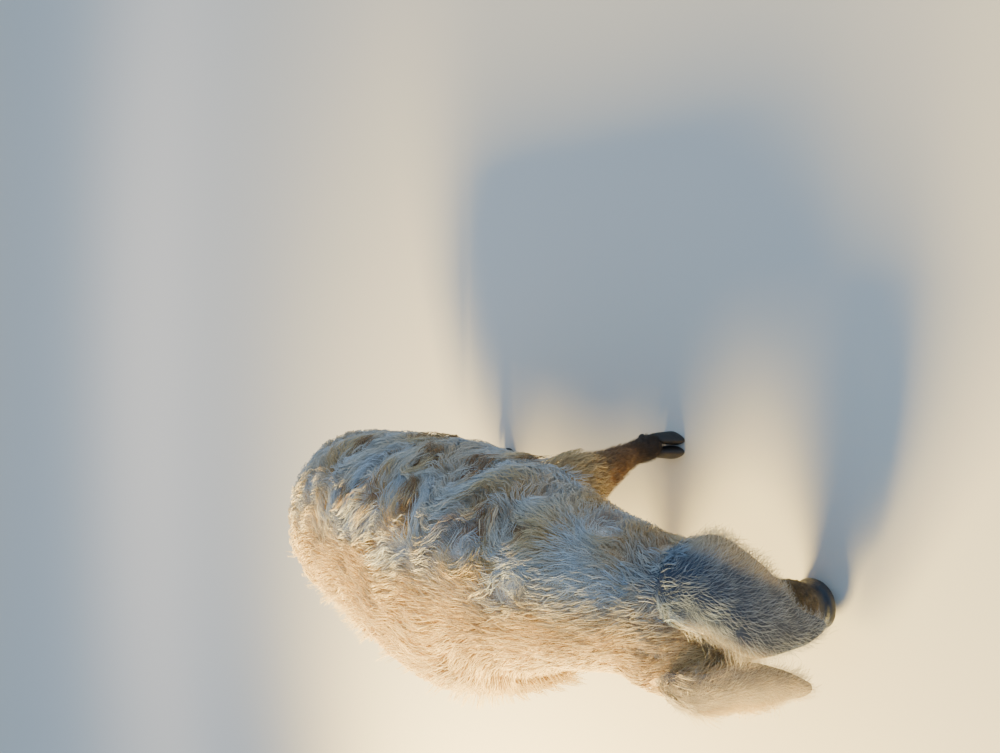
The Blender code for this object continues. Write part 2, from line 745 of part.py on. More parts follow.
def copied(obj, name):
    copy = obj.copy()
    copy.data = obj.data.copy()
    copy.name = name
    bpy.context.scene.collection.objects.link(copy)
    return copy


def ball(name, centre, radius, scale=(1, 1, 1), segments=12, rings=7):
    bpy.ops.mesh.primitive_uv_sphere_add(segments=segments, ring_count=rings, radius=radius)
    obj = bpy.context.active_object
    obj.name = name
    for vert in obj.data.vertices:
        vert.co = Vector(centre) + Vector(c * s for c, s in zip(vert.co, scale))
    return obj


def build():
    clear_scene()
    coat = make_material("coat_blond", (0.62, 0.47, 0.31), 0.9)
    skin = make_material("skin_slate", (0.10, 0.09, 0.09), 0.6)
    horn = make_material("hoof_horn", (0.05, 0.045, 0.04), 0.45)
    eye = make_material("eye_dark", (0.03, 0.02, 0.015), 0.1)

    trunk = trunk_solid("torso", CORE_DEPTH, coat)
    join_all(trunk, trunk_locks(coat))
    for name in LEGS:
        build_leg(name, trunk, coat, horn)
    build_tail(trunk, coat)
    part_off(trunk, HEAD_CUT, True)
    neck = copied(trunk, "neck")
    part_off(neck, NECK_CUT, False)
    part_off(trunk, NECK_CUT, True)
    keep_largest(trunk)
    keep_largest(neck)
    head = build_head(coat, skin, eye)
    part_off(head, HEAD_CUT, False)
    keep_largest(head)
    for name, net in EARS.items():
        leaf = ear_solid(name, net, coat)
        apply_boolean(leaf, "DIFFERENCE", head_solid("cutter", lift=GAP))
        apply_boolean(leaf, "DIFFERENCE", trunk_solid("cutter", COAT_DEPTH + GAP))
        keep_largest(leaf)
    centre_all()


def clear_way(trunk, limb):
    """Cuts the trunk's locks clear of a limb, without opening the core under it."""
    apply_boolean(limb, "DIFFERENCE", trunk_solid("cutter", CORE_DEPTH + GAP / 2))
    keep_largest(limb)
    apply_boolean(trunk, "DIFFERENCE", limb)


def build_tail(trunk, coat):
    tail = tail_solid("tail", coat)
    apply_boolean(tail, "DIFFERENCE", trunk_solid("cutter", CORE_DEPTH + GAP))
    keep_largest(tail)
    join_all(tail, tail_locks(coat))
    clear_way(trunk, tail_solid("cutter", lift=GAP))


def centre_all():
    for obj in bpy.data.objects:
        for vert in obj.data.vertices:
            vert.co += Vector(CENTRE_SHIFT)


def build_head(coat, skin, eye):
    """The head with its lids, lips and sockets, the lower jaw, the snout disc and both eyes."""
    head = head_solid("head", coat)
    for side in (1, -1):
        apply_boolean(head, "UNION", lid_ring("lid", side))
        apply_boolean(head, "UNION", lip_solid("upper_lip", MOUTH_DROP - LIP_RADIUS, side))
        apply_boolean(head, "UNION", lip_solid("lower_lip", MOUTH_DROP + MOUTH_GAP + LIP_RADIUS, side))
    for side, name in ((1, "eye_left"), (-1, "eye_right")):
        centre, _ = eye_centre(side)
        apply_boolean(head, "DIFFERENCE", ball("socket", centre, EYE_RADIUS + GAP * 1.5))
        ball(name, centre, EYE_RADIUS).data.materials.append(eye)
    jaw = copied(head, "lower_jaw")
    apply_boolean(jaw, "INTERSECT", head_block("below", MOUTH_BACK, 0.6, -0.4, -MOUTH_DROP - MOUTH_GAP))
    apply_boolean(head, "DIFFERENCE", head_block("mouth", MOUTH_BACK - GAP, 0.6, -0.4, -MOUTH_DROP))
    keep_largest(head)
    keep_largest(jaw)
    snout_disc("snout", skin)
    return head


def build_leg(name, trunk, coat, horn):
    """One leg with its two claws and two dewclaws."""
    rows, side, shift, splay = LEGS[name]
    leg = leg_solid(name, name, coat)
    apply_boolean(leg, "DIFFERENCE", trunk_solid("cutter", CORE_DEPTH + GAP))
    keep_largest(leg)
    clear_way(trunk, leg_solid("cutter", name, lift=GAP))
    foot_x, foot_y, _ = leg_centre(rows, rows[-1], side, shift, splay)
    fetlock_x = rows[-2][1] + shift
    for which, away in (("inner", -side), ("outer", side)):
        claw_solid(f"claw_{name}_{which}", foot_x + CLAW_FORWARD, foot_y + away * CLAW_SPREAD, away, horn)
        x, y = fetlock_x + DEWCLAW_ROOT[0], foot_y + away * DEWCLAW_ROOT[1]
        dewclaw = dewclaw_solid(f"dewclaw_{name}_{which}", x, y, horn)
        apply_boolean(dewclaw, "DIFFERENCE", leg_solid("cutter", name, lift=GAP))
        keep_largest(dewclaw)


build()
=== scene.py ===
# A life-size mangalica pig: skin, long wavy coat, short fur on face, ears and legs, hooves and eyes.
# Metres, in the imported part's own frame: +X is forwards, +Y the pig's left, the floor is z = 0.

import math

import bmesh
import bpy
import numpy as np
from mathutils import Matrix, Vector
from mathutils.bvhtree import BVHTree


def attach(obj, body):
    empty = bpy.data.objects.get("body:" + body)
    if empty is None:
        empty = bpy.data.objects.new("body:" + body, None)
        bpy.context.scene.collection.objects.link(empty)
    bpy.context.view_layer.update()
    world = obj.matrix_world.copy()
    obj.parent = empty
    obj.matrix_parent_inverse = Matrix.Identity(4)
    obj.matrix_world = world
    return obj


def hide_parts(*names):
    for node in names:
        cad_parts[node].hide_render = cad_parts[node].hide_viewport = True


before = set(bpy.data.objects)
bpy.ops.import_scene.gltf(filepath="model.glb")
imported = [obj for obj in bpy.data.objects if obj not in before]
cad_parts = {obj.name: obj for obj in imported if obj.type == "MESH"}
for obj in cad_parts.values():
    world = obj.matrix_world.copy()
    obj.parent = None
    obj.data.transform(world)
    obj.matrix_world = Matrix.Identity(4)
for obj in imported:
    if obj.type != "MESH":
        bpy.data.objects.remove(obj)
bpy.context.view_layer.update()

centreShift = Vector((0.017, 0.012, 0.0))  # what the part's source moves the whole animal by


# Tools for colours, nodes, meshes and modifiers.

def colour(hexValue):
    channels = [int(hexValue[i : i + 2], 16) / 255 for i in (1, 3, 5)]
    return (*[c / 12.92 if c <= 0.04045 else ((c + 0.055) / 1.055) ** 2.4 for c in channels], 1.0)


def setInputs(tree, node, inputs):
    for name, value in inputs.items():
        if isinstance(value, bpy.types.NodeSocket):
            tree.links.new(value, node.inputs[name])
        else:
            node.inputs[name].default_value = value


def addNode(tree, kind, inputs=None, **settings):
    node = tree.nodes.new(kind)
    for name, value in settings.items():
        setattr(node, name, value)
    setInputs(tree, node, inputs or {})
    return node


def placeObject(name, mesh, material=None):
    piece = bpy.data.objects.new(name, mesh)
    bpy.context.scene.collection.objects.link(piece)
    if material:
        mesh.materials.clear()
        mesh.materials.append(material)
    return piece


def placeBuilt(name, made, material=None):
    bmesh.ops.recalc_face_normals(made, faces=made.faces)
    mesh = bpy.data.meshes.new(name)
    made.to_mesh(mesh)
    made.free()
    return placeObject(name, mesh, material)


def meshFromRings(name, rings, closed=False):
    # Quads from ring to ring. If closed, the last meets the first, and if not, a fan shuts each end.
    made = bmesh.new()
    lines = [[made.verts.new(point) for point in ring] for ring in rings]
    count = len(rings[0])
    for line, following in zip(lines, lines[1:] + lines[: int(closed)]):
        for i in range(count):
            j = (i + 1) % count
            made.faces.new((line[i], line[j], following[j], following[i]))
    for line in () if closed else (lines[0], lines[-1]):
        middle = made.verts.new(sum((v.co for v in line), Vector()) / count)
        for i in range(count):
            made.faces.new((line[i], line[(i + 1) % count], middle))
    return placeBuilt(name, made)


def withModifier(piece, kind, **settings):
    modifier = piece.modifiers.new(kind, kind)
    for name, value in settings.items():
        setattr(modifier, name, value)
    graph = bpy.context.evaluated_depsgraph_get()
    evaluated = piece.evaluated_get(graph)
    result = bpy.data.meshes.new_from_object(evaluated, preserve_all_data_layers=True, depsgraph=graph)
    piece.modifiers.clear()
    piece.data = result


def gather(pieces):
    made = bmesh.new()
    for piece in pieces:
        made.from_mesh(piece.data)
    return made


def joinShells(target, others):
    # One object that holds all the shells, which the voxel remesh then makes one skin.
    made = gather((target, *others))
    made.to_mesh(target.data)
    made.free()
    for piece in others:
        bpy.data.objects.remove(piece, do_unlink=True)


def cutAway(target, tool, operation="DIFFERENCE"):
    withModifier(target, "BOOLEAN", operation=operation, solver="MANIFOLD", object=tool)
    bpy.data.objects.remove(tool, do_unlink=True)


def readAll(items, name, width, kind=float):
    block = np.empty(len(items) * width, dtype=kind)
    items.foreach_get(name, block)
    return block.reshape(-1, width)


def readPoints(mesh):
    return readAll(mesh.vertices, "co", 3)


def readNormals(mesh):
    return readAll(mesh.vertex_normals, "vector", 3)


def writePoints(mesh, points):
    mesh.vertices.foreach_set("co", points.ravel())
    mesh.update()


def smoothPoints(mesh, weights, rounds):
    # Moves each point towards the mean of its neighbours, by its own weight.
    a, b = readAll(mesh.edges, "vertices", 2, np.int64).T
    points = readPoints(mesh)
    weights = np.broadcast_to(weights, len(points))[:, None]
    degree = np.bincount(np.concatenate((a, b)), minlength=len(points))[:, None]
    for _ in range(rounds):
        total = np.zeros_like(points)
        np.add.at(total, a, points[b])
        np.add.at(total, b, points[a])
        points += (total / np.maximum(degree, 1) - points) * weights
    writePoints(mesh, points)


def unit(vectors):
    return vectors / np.maximum(np.linalg.norm(vectors, axis=-1, keepdims=True), 1e-9)


def dot(a, b):
    return np.sum(a * b, axis=-1, keepdims=True)


def ramp(value, start, end):
    t = np.clip((value - start) / (end - start), 0, 1)
    return t * t * (3 - 2 * t)


def waves(points, length, seed, count=7):
    # A soft random swell over space, about -1 to 1, whose hills are this far apart.
    draw = np.random.default_rng(seed)
    directions = unit(draw.normal(size=(count, 3))) * draw.uniform(0.7, 1.3, (count, 1))
    directions = directions * 2 * math.pi / length
    phases = draw.uniform(0, 2 * math.pi, count)
    return np.clip(np.sin(points @ directions.T + phases).sum(axis=1) / math.sqrt(count), -1, 1)


def bell(apart, reach=1.0):
    return np.exp(-((apart / reach) ** 2))


def nearness(points, middle, reach):
    # 1 at the middle, fading over this reach.
    return bell(np.linalg.norm(points - np.array(middle), axis=1), reach)


def blend(first, second, share):
    return first * (1 - share) + second * share


def alongSkin(way, normals):
    return unit(way - normals * dot(way, normals))


def swung(way, normals, angle):
    return way * np.cos(angle) + np.cross(normals, way) * np.sin(angle)


# The body's own shape, from the same named sizes as the part's source.

def smoothValue(rows, column, at):
    keys = [row[0] for row in rows]
    last = len(rows) - 1
    i = min(max(sum(k <= at for k in keys) - 1, 0), last - 1)

    def slope(j):
        a, b = max(j - 1, 0), min(j + 1, last)
        return (rows[b][column] - rows[a][column]) / (keys[b] - keys[a])

    width = keys[i + 1] - keys[i]
    t = min(max((at - keys[i]) / width, 0.0), 1.0)
    here, there = rows[i][column], rows[i + 1][column]
    return (
        here * (1 + 2 * t) * (1 - t) ** 2
        + slope(i) * width * t * (1 - t) ** 2
        + there * t * t * (3 - 2 * t)
        - slope(i + 1) * width * t * t * (1 - t)
    )


def signedPower(value, power):
    return math.copysign(abs(value) ** power, value)


def oval(angle, rise, drop, half, squareness):
    c, s = math.cos(angle), math.sin(angle)
    power = 2 / squareness
    return signedPower(s, power) * half, signedPower(c, power) * (rise if c > 0 else drop)


def turns(count):
    return [2 * math.pi * i / count for i in range(count)]


def circle(middle, first, second, radius, count):
    return [middle + (first * math.cos(a) + second * math.sin(a)) * radius for a in turns(count)]


def levelRing(middle, length, width, count):
    return [middle + Vector((length * math.cos(a), width * math.sin(a), 0)) for a in turns(count)]


trunk = {
    # x, z of the widest line, rise above it, drop below it, half width, lean in degrees, shift sideways
    "rows": [
        (-0.775, 0.478, 0.190, 0.175, 0.200, -8, 0.000),
        (-0.640, 0.474, 0.222, 0.215, 0.238, -3, 0.004),
        (-0.460, 0.458, 0.244, 0.218, 0.250, 0, 0.004),
        (-0.260, 0.432, 0.262, 0.206, 0.262, 0, -0.008),
        (-0.050, 0.410, 0.268, 0.200, 0.276, 0, -0.024),
        (0.130, 0.400, 0.264, 0.184, 0.262, 2, -0.026),
        (0.290, 0.388, 0.258, 0.156, 0.226, 8, -0.006),
        (0.405, 0.406, 0.208, 0.168, 0.172, 18, 0.016),
        (0.505, 0.370, 0.176, 0.138, 0.144, 32, 0.024),
        (0.600, 0.322, 0.130, 0.108, 0.128, 50, 0.014),
        (0.650, 0.290, 0.104, 0.090, 0.120, 62, 0.004),
    ],
    "rumpRound": 0.20,
    "squareness": 2.2,
    "sides": 64,
    "capRings": 12,
    "rings": 70,
    "voxel": 0.0085,
}


def trunkPoint(x, angle):
    z, rise, drop, half, lean, shift = (smoothValue(trunk["rows"], column, x) for column in range(1, 7))
    reach = min(max((x - trunk["rows"][0][0]) / trunk["rumpRound"], 0.0), 1.0)
    full = math.sqrt(max(1 - (1 - reach) ** 2, 0.0))
    side, up = oval(angle, rise * full, drop * full, half * full, trunk["squareness"])
    tilt = math.radians(lean)
    return Vector((x + up * math.sin(tilt), shift + side, z + up * math.cos(tilt))) + centreShift


def makeTrunk():
    start, end, reach = trunk["rows"][0][0], trunk["rows"][-1][0], trunk["rumpRound"]
    capAngles = [math.radians(90 * (i + 0.5) / trunk["capRings"]) for i in range(trunk["capRings"])]
    cap = [start + reach * (1 - math.cos(angle)) for angle in capAngles]
    rest = [start + reach + (end - start - reach) * i / trunk["rings"] for i in range(trunk["rings"] + 1)]
    return meshFromRings("trunk", [[trunkPoint(x, a) for a in turns(trunk["sides"])] for x in cap + rest])


head = {
    "root": (0.655, -0.008, 0.372),
    "pitch": 80,
    # distance down the axis, forehead above it, jaw below it, half width
    "rows": [
        (-0.070, 0.060, 0.100, 0.098),
        (-0.040, 0.080, 0.142, 0.120),
        (0.000, 0.090, 0.182, 0.134),
        (0.055, 0.084, 0.184, 0.140),
        (0.105, 0.069, 0.164, 0.132),
        (0.155, 0.054, 0.134, 0.107),
        (0.215, 0.043, 0.090, 0.071),
        (0.275, 0.041, 0.061, 0.053),
        (0.322, 0.043, 0.048, 0.046),
        (0.346, 0.044, 0.044, 0.044),
    ],
    "squareness": 2.2,
    "sides": 72,
    "rings": 90,
    "inset": (0.0025, 0.015),  # on the face, and at the poll, where the long hair covers it
    "insetFade": (-0.03, 0.10),
    "voxel": 0.0031,
}
disc = {
    "thickness": 0.018,
    "height": 0.051,
    "width": 0.048,
    # share of the thickness, share of the full size
    "rings": ((0.0, 0.90), (0.15, 0.985), (0.4, 1.0), (0.75, 1.0), (0.93, 0.975), (1.0, 0.90)),
    "sides": 48,
    "nostril": 0.0085,
    "nostrilStretch": (1.25, 0.85, 1.0),
    "nostrilSpacing": 0.020,
    "nostrilRise": 0.006,
}
eye = {
    "radius": 0.0135,
    "place": 0.098,
    "angle": 62,
    "sunk": 0.0075,
    "room": 0.0006,
    "lid": 0.0046,
    "lidOut": (0.0082, 0.0012),  # out from the eye's centre, and so much more above
    "lidSteps": 36,
    "opening": (0.0150, 0.0098),
    "brow": (0.014, -0.012, -0.020),  # up, along and outwards from the eye's centre
    "browRadius": 0.028,
}
mouth = {"drop": 0.026, "gap": 0.0026, "back": 0.175, "lip": 0.0045, "lipSteps": 14, "slitSteps": 11}

pitch = math.radians(head["pitch"])
headAlong = Vector((math.cos(pitch), 0, -math.sin(pitch)))
headUp = Vector((math.sin(pitch), 0, math.cos(pitch)))
headRoot = Vector(head["root"]) + centreShift


def headPlace(at, up, side):
    return headRoot + headAlong * at + headUp * up + Vector((0, side, 0))


def headPlaceOf(points):
    # How far down the head's axis, up from it and to its side.
    offset = points - np.array(headRoot)
    return offset @ np.array(headAlong), offset @ np.array(headUp), offset[:, 1]


def headPoint(at, angle, lift=0.0):
    rise, drop, half = (smoothValue(head["rows"], column, at) for column in (1, 2, 3))
    side, up = oval(angle, rise + lift, drop + lift, half + lift, head["squareness"])
    return headPlace(at, up, side)


def headInset(at):
    face, poll = head["inset"]
    return face + (poll - face) * (1 - ramp(at, *head["insetFade"]))


def acrossHead(point):
    return Vector((point.x, 2 * headRoot.y - point.y, point.z))


def eyeCentre(side):
    surface = headPoint(eye["place"], math.radians(eye["angle"]))
    outward = (surface - headPoint(eye["place"], math.radians(eye["angle"]), -0.02)).normalized()
    centre = surface - outward * eye["sunk"]
    if side < 0:
        centre, outward = acrossHead(centre), Vector((outward.x, -outward.y, outward.z))
    return centre, outward


def makeBall(name, centre, radius, scale=(1, 1, 1), turn=None, segments=32, rings=20):
    made = bmesh.new()
    bmesh.ops.create_uvsphere(made, u_segments=segments, v_segments=rings, radius=radius)
    for vert in made.verts:
        spot = Vector(c * s for c, s in zip(vert.co, scale))
        vert.co = Vector(centre) + (turn @ spot if turn else spot)
    return placeBuilt(name, made)


def makeLid(side):
    # A soft rim round the eye, thicker above than below.
    centre, outward = eyeCentre(side)
    across = outward.cross(headAlong).normalized()
    level = across.cross(outward).normalized()
    if across.dot(headUp) < 0:
        across = -across
    out, outAbove = eye["lidOut"]
    rings = []
    for a in turns(eye["lidSteps"]):
        upper = max(math.sin(a), 0.0)
        middle = centre + outward * (out + outAbove * upper)
        middle += level * math.cos(a) * eye["opening"][0] + across * math.sin(a) * eye["opening"][1]
        radial = (level * math.cos(a) + across * math.sin(a)).normalized()
        rings.append(circle(middle, radial, outward, eye["lid"] * (1 + 0.5 * upper), 10))
    return meshFromRings("lid", rings, closed=True)


def mouthAngle(at, drop):
    depth = smoothValue(head["rows"], 2, at)
    return math.pi - math.acos(min(drop / depth, 0.98) ** (head["squareness"] / 2))


def makeLip(drop, side):
    first, last = mouth["back"] - 0.008, head["rows"][-1][0] - 0.004
    steps = mouth["lipSteps"]
    rings = []
    for i in range(steps + 1):
        at = first + (last - first) * i / steps
        middle = headPoint(at, mouthAngle(at, drop), -headInset(at))
        across = (middle - headPoint(at, mouthAngle(at, drop), -0.01)).normalized()
        radius = mouth["lip"] * min(1.0, 0.3 + i / 3, 0.5 + (steps - i) / 2)
        ring = circle(middle, across, headUp, radius, 10)
        rings.append(ring if side > 0 else [acrossHead(point) for point in ring])
    return meshFromRings("lip", rings)


def makeDisc():
    start = head["rows"][-1][0] - 0.001
    rings = []
    for share, scale in disc["rings"]:
        height, width = disc["height"] * scale, disc["width"] * scale
        ring = [oval(a, height, height, width, head["squareness"]) for a in turns(disc["sides"])]
        rings.append([headPlace(start + disc["thickness"] * share, up, side) for side, up in ring])
    return meshFromRings("disc", rings)


def makeSlit():
    # The line of the mouth, which closes towards the cheeks.
    steps = mouth["slitSteps"]
    reach = head["rows"][-1][0] - 0.0015 - mouth["back"]
    rings = []
    for i in range(steps + 1):
        half = mouth["gap"] / 2 * min(1.0, 0.25 + i / 5)
        middle = -mouth["drop"] - mouth["gap"] / 2 + 0.004 * (1 - i / steps) ** 2
        corners = ((-half, -0.2), (half, -0.2), (half, 0.2), (-half, 0.2))
        at = mouth["back"] + reach * i / steps
        rings.append([headPlace(at, middle + up, side) for up, side in corners])
    return meshFromRings("slit", rings)


def makeHead():
    start, end = head["rows"][0][0], head["rows"][-1][0]
    places = [start + (end - start) * i / head["rings"] for i in range(head["rings"] + 1)]
    rings = [[headPoint(p, a, -headInset(p)) for a in turns(head["sides"])] for p in places]
    skull = meshFromRings("skull", rings)
    browUp, browAlong, browOut = eye["brow"]
    shells = [makeDisc()]
    for side in (1, -1):
        centre, outward = eyeCentre(side)
        shells.append(makeLid(side))
        for drop in (mouth["drop"] - mouth["lip"], mouth["drop"] + mouth["gap"] + mouth["lip"]):
            shells.append(makeLip(drop, side))
        brow = centre + headUp * browUp + headAlong * browAlong + outward * browOut
        shells.append(makeBall("brow", brow, eye["browRadius"]))
    joinShells(skull, shells)
    withModifier(skull, "REMESH", mode="VOXEL", voxel_size=head["voxel"])
    smoothPoints(skull.data, 0.5, 3)
    turn = headAlong.to_track_quat("X", "Z")
    for side in (1, -1):
        cutAway(skull, makeBall("socket", eyeCentre(side)[0], eye["radius"] + eye["room"]))
        place = end + disc["thickness"] - 0.001
        nostril = headPlace(place, disc["nostrilRise"], side * disc["nostrilSpacing"])
        cutAway(skull, makeBall("nostril", nostril, disc["nostril"], disc["nostrilStretch"], turn))
    cutAway(skull, makeSlit())
    return skull


legs = {
    # x, y and z of the bone line, half length along the body, half width across it
    "fore": [
        (0.262, 0.118, 0.420, 0.105, 0.078),
        (0.268, 0.154, 0.325, 0.100, 0.078),
        (0.266, 0.184, 0.258, 0.082, 0.065),
        (0.276, 0.208, 0.200, 0.058, 0.050),
        (0.284, 0.234, 0.148, 0.043, 0.041),
        (0.284, 0.252, 0.103, 0.033, 0.032),
        (0.290, 0.264, 0.070, 0.038, 0.037),
        (0.302, 0.270, 0.044, 0.036, 0.038),
    ],
    "hind": [
        (-0.450, 0.120, 0.420, 0.150, 0.090),
        (-0.455, 0.138, 0.330, 0.130, 0.086),
        (-0.465, 0.148, 0.268, 0.092, 0.068),
        (-0.500, 0.154, 0.220, 0.060, 0.050),
        (-0.528, 0.156, 0.176, 0.046, 0.039),
        (-0.518, 0.158, 0.122, 0.033, 0.031),
        (-0.504, 0.160, 0.074, 0.038, 0.037),
        (-0.490, 0.162, 0.044, 0.036, 0.038),
    ],
    # which rows, which side, how far forwards, what share of the rows' splay
    "foreleg_left": ("fore", 1, -0.022, 1.0),
    "foreleg_right": ("fore", -1, -0.030, 0.32),
    "hindleg_left": ("hind", 1, -0.030, 1.0),
    "hindleg_right": ("hind", -1, 0.050, 1.0),
    "sides": 40,
    "rings": 48,
    "inset": 0.0025,
    "overHoof": 0.006,
    "drawnIn": (0.50, -0.051, -0.037),  # by this share between these depths, to close inside the claws
}
legNames = ("foreleg_left", "foreleg_right", "hindleg_left", "hindleg_right")


def legLine(name):
    # The leg's rows keyed by how far they have fallen, set on their side with stride and splay.
    which, side, shift, splay = legs[name]
    rows = legs[which]
    inner = rows[0][1]
    return [
        (-z, x + shift, side * (inner + (y - inner) * splay), length, width)
        for x, y, z, length, width in rows
    ]


def makeLeg(name):
    rows = legLine(name)
    rings = []
    for i in range(legs["rings"] + 1):
        fallen = rows[0][0] + (rows[-1][0] + legs["overHoof"] - rows[0][0]) * i / legs["rings"]
        x, y, length, width = (smoothValue(rows, column, min(fallen, rows[-1][0])) for column in (1, 2, 3, 4))
        drawnIn = 1 - legs["drawnIn"][0] * ramp(fallen, *legs["drawnIn"][1:])
        length, width = (length - legs["inset"]) * drawnIn, (width - legs["inset"]) * drawnIn
        rings.append(levelRing(Vector((x, y, -fallen)) + centreShift, length, width, legs["sides"]))
    return meshFromRings(name, rings)


ears = {
    # from the root over the crest to the tip: points on the inner edge, on the rib and on the outer edge
    "left": (
        ((0.668, 0.030, 0.385), (0.652, 0.085, 0.372), (0.650, 0.108, 0.325)),
        ((0.715, 0.026, 0.416), (0.705, 0.086, 0.410), (0.690, 0.142, 0.339)),
        ((0.775, -0.002, 0.362), (0.775, 0.085, 0.382), (0.740, 0.157, 0.302)),
        ((0.810, -0.034, 0.303), (0.815, 0.038, 0.288), (0.785, 0.115, 0.255)),
        ((0.812, -0.038, 0.196), (0.815, 0.002, 0.190), (0.795, 0.038, 0.185)),
        ((0.806, -0.022, 0.120), (0.805, -0.009, 0.112), (0.800, 0.004, 0.128)),
    ),
    "right": (
        ((0.668, -0.050, 0.385), (0.652, -0.098, 0.375), (0.640, -0.112, 0.325)),
        ((0.720, -0.068, 0.402), (0.700, -0.094, 0.410), (0.670, -0.112, 0.376)),
        ((0.770, -0.062, 0.373), (0.740, -0.118, 0.377), (0.690, -0.164, 0.304)),
        ((0.790, -0.046, 0.309), (0.775, -0.104, 0.309), (0.705, -0.175, 0.219)),
        ((0.790, -0.075, 0.215), (0.785, -0.110, 0.213), (0.735, -0.170, 0.150)),
        ((0.785, -0.122, 0.126), (0.782, -0.136, 0.120), (0.770, -0.152, 0.128)),
    ),
    "thickness": 0.0065,
    "inset": 0.0012,
    "steps": (48, 26),
    "edgeWave": 0.0022,
}


def earPoint(rows, u, v):
    keyed = [(i, *(c for point in row for c in point)) for i, row in enumerate(rows)]
    values = [smoothValue(keyed, column, u * (len(rows) - 1)) for column in range(1, 10)]
    inner, rib, outer = (Vector(values[i : i + 3]) for i in (0, 3, 6))
    return inner * (v * (v - 1) / 2) + rib * (1 - v * v) + outer * (v * (v + 1) / 2) + centreShift


def earFace(rows, u, v, depth):
    along = earPoint(rows, min(u + 0.01, 1), v) - earPoint(rows, max(u - 0.01, 0), v)
    across = earPoint(rows, u, min(v + 0.02, 1)) - earPoint(rows, u, max(v - 0.02, -1))
    normal = along.cross(across).normalized()
    if rows[0][0][1] > rows[0][2][1]:
        normal = -normal
    return earPoint(rows, u, v) + normal * depth


def makeEar(name, rows):
    # A long drooping leaf, cupped towards the face, with a soft wave along its edges.
    uSteps, vSteps = ears["steps"]
    made = bmesh.new()
    grids = []
    for inner in (False, True):
        grid = []
        for i in range(uSteps + 1):
            u = i / uSteps
            line = []
            for j in range(vSteps + 1):
                v = (-1 + 2 * j / vSteps) * 0.985
                depth = ears["inset"] * (1 - v * v * 0.6)
                if inner:
                    full = ears["thickness"] * (1 - 0.35 * u) * (1 - 0.45 * v * v) - ears["inset"]
                    depth = max(full, depth + 0.0008)
                depth += ears["edgeWave"] * v * v * math.sin(u * 17 + 2 * v) * min(u * 3, 1.0)
                line.append(made.verts.new(earFace(rows, u, v, depth)))
            grid.append(line)
        grids.append(grid)
    outer, cup = grids
    for i in range(uSteps):
        for j in range(vSteps):
            for grid in grids:
                made.faces.new((grid[i][j], grid[i + 1][j], grid[i + 1][j + 1], grid[i][j + 1]))
    edge = [(0, j) for j in range(vSteps)] + [(i, vSteps) for i in range(uSteps)]
    edge += [(uSteps, j) for j in range(vSteps, 0, -1)] + [(i, 0) for i in range(uSteps, 0, -1)]
    for (i, j), (k, m) in zip(edge, edge[1:] + edge[:1]):
        made.faces.new((outer[i][j], outer[k][m], cup[k][m], cup[i][j]))
    return placeBuilt(name, made)


tail = {
    "root": (-0.735, 0.010, 0.592),
    "length": 0.32,
    "standOff": 0.102,
    "radius": 0.019,
    "wave": 0.012,
    "inset": 0.004,
    "sides": 20,
    "rings": 40,
}


def tailPoint(share):
    out = -tail["standOff"] * math.sin(min(share * 3.0, 1.0) * math.pi / 2)
    sway = tail["wave"] * math.sin(share * 6.0)
    return Vector(tail["root"]) + Vector((out, sway, -tail["length"] * share**1.5)) + centreShift


def makeTail():
    rings = []
    for i in range(tail["rings"] + 1):
        share = i / tail["rings"]
        run = (tailPoint(min(share + 0.03, 1.0)) - tailPoint(max(share - 0.03, 0.0))).normalized()
        side = run.cross(Vector((1, 0, 0.2))).normalized()
        radius = (tail["radius"] - tail["inset"]) * (1 - 0.62 * share)
        rings.append(circle(tailPoint(share), side, side.cross(run), radius, tail["sides"]))
    return meshFromRings("tailSkin", rings)


# The skin: every part of the flesh in one closed surface, with the seams drawn smooth.

seams = {
    # reach, strength and rounds of the smoothing: at every seam, and at the deep one of neck and head
    "all": (0.016, 0.6, 26),
    "poll": (0.026, 0.7, 150),
    "pollFrom": 0.5,
    "offEars": (0.008, 0.03),
}


def treeOf(*pieces):
    made = gather(pieces)
    tree = BVHTree.FromBMesh(made)
    made.free()
    return tree


trunkPiece, headPiece, tailPiece = makeTrunk(), makeHead(), makeTail()
legPieces = [makeLeg(name) for name in legNames]
earPieces = [makeEar("earLeft", ears["left"]), makeEar("earRight", ears["right"])]
regions = ("trunk", "legs", "head", "earLeft", "earRight", "tail")
trunkPart, legPart, headPart, leftEar, rightEar, tailPart = range(len(regions))
regionPieces = ([trunkPiece], legPieces, [headPiece], earPieces[:1], earPieces[1:], [tailPiece])
regionTrees = [treeOf(*pieces) for pieces in regionPieces]
print("parts of the skin made")

skin = trunkPiece
skin.name = "skin"
joinShells(skin, legPieces)
withModifier(skin, "REMESH", mode="VOXEL", voxel_size=trunk["voxel"])
smoothPoints(skin.data, 0.5, 8)
for piece in (headPiece, *earPieces, tailPiece):
    cutAway(skin, piece, "UNION")

points = readPoints(skin.data)
distances = np.array([[tree.find_nearest(point)[3] for tree in regionTrees] for point in points])
nearTwo = np.sort(distances, axis=1)[:, 1]  # how far a place is from the second nearest part
labels = distances.argmin(axis=1)
reach, strength, rounds = seams["all"]
smoothPoints(skin.data, np.clip(1 - nearTwo / reach, 0, 1) * strength, rounds)
atPoll = ((labels == trunkPart) | (labels == headPart)) & (points[:, 0] > seams["pollFrom"])
offEars = ramp(distances[:, leftEar : rightEar + 1].min(axis=1), *seams["offEars"])
reach, strength, rounds = seams["poll"]
smoothPoints(skin.data, np.clip(1.5 - nearTwo / reach, 0, 1) * strength * atPoll * offEars, rounds)
print("skin joined", len(skin.data.polygons), "faces")


# Folds of the snout and the face, pressed into the finished skin.

folds = {
    "wavelength": 0.0105,
    "depth": 0.0011,
    "first": 0.20,
    "last": 0.338,
    "faceDepth": 0.0012,
    "faceLength": 0.020,
}


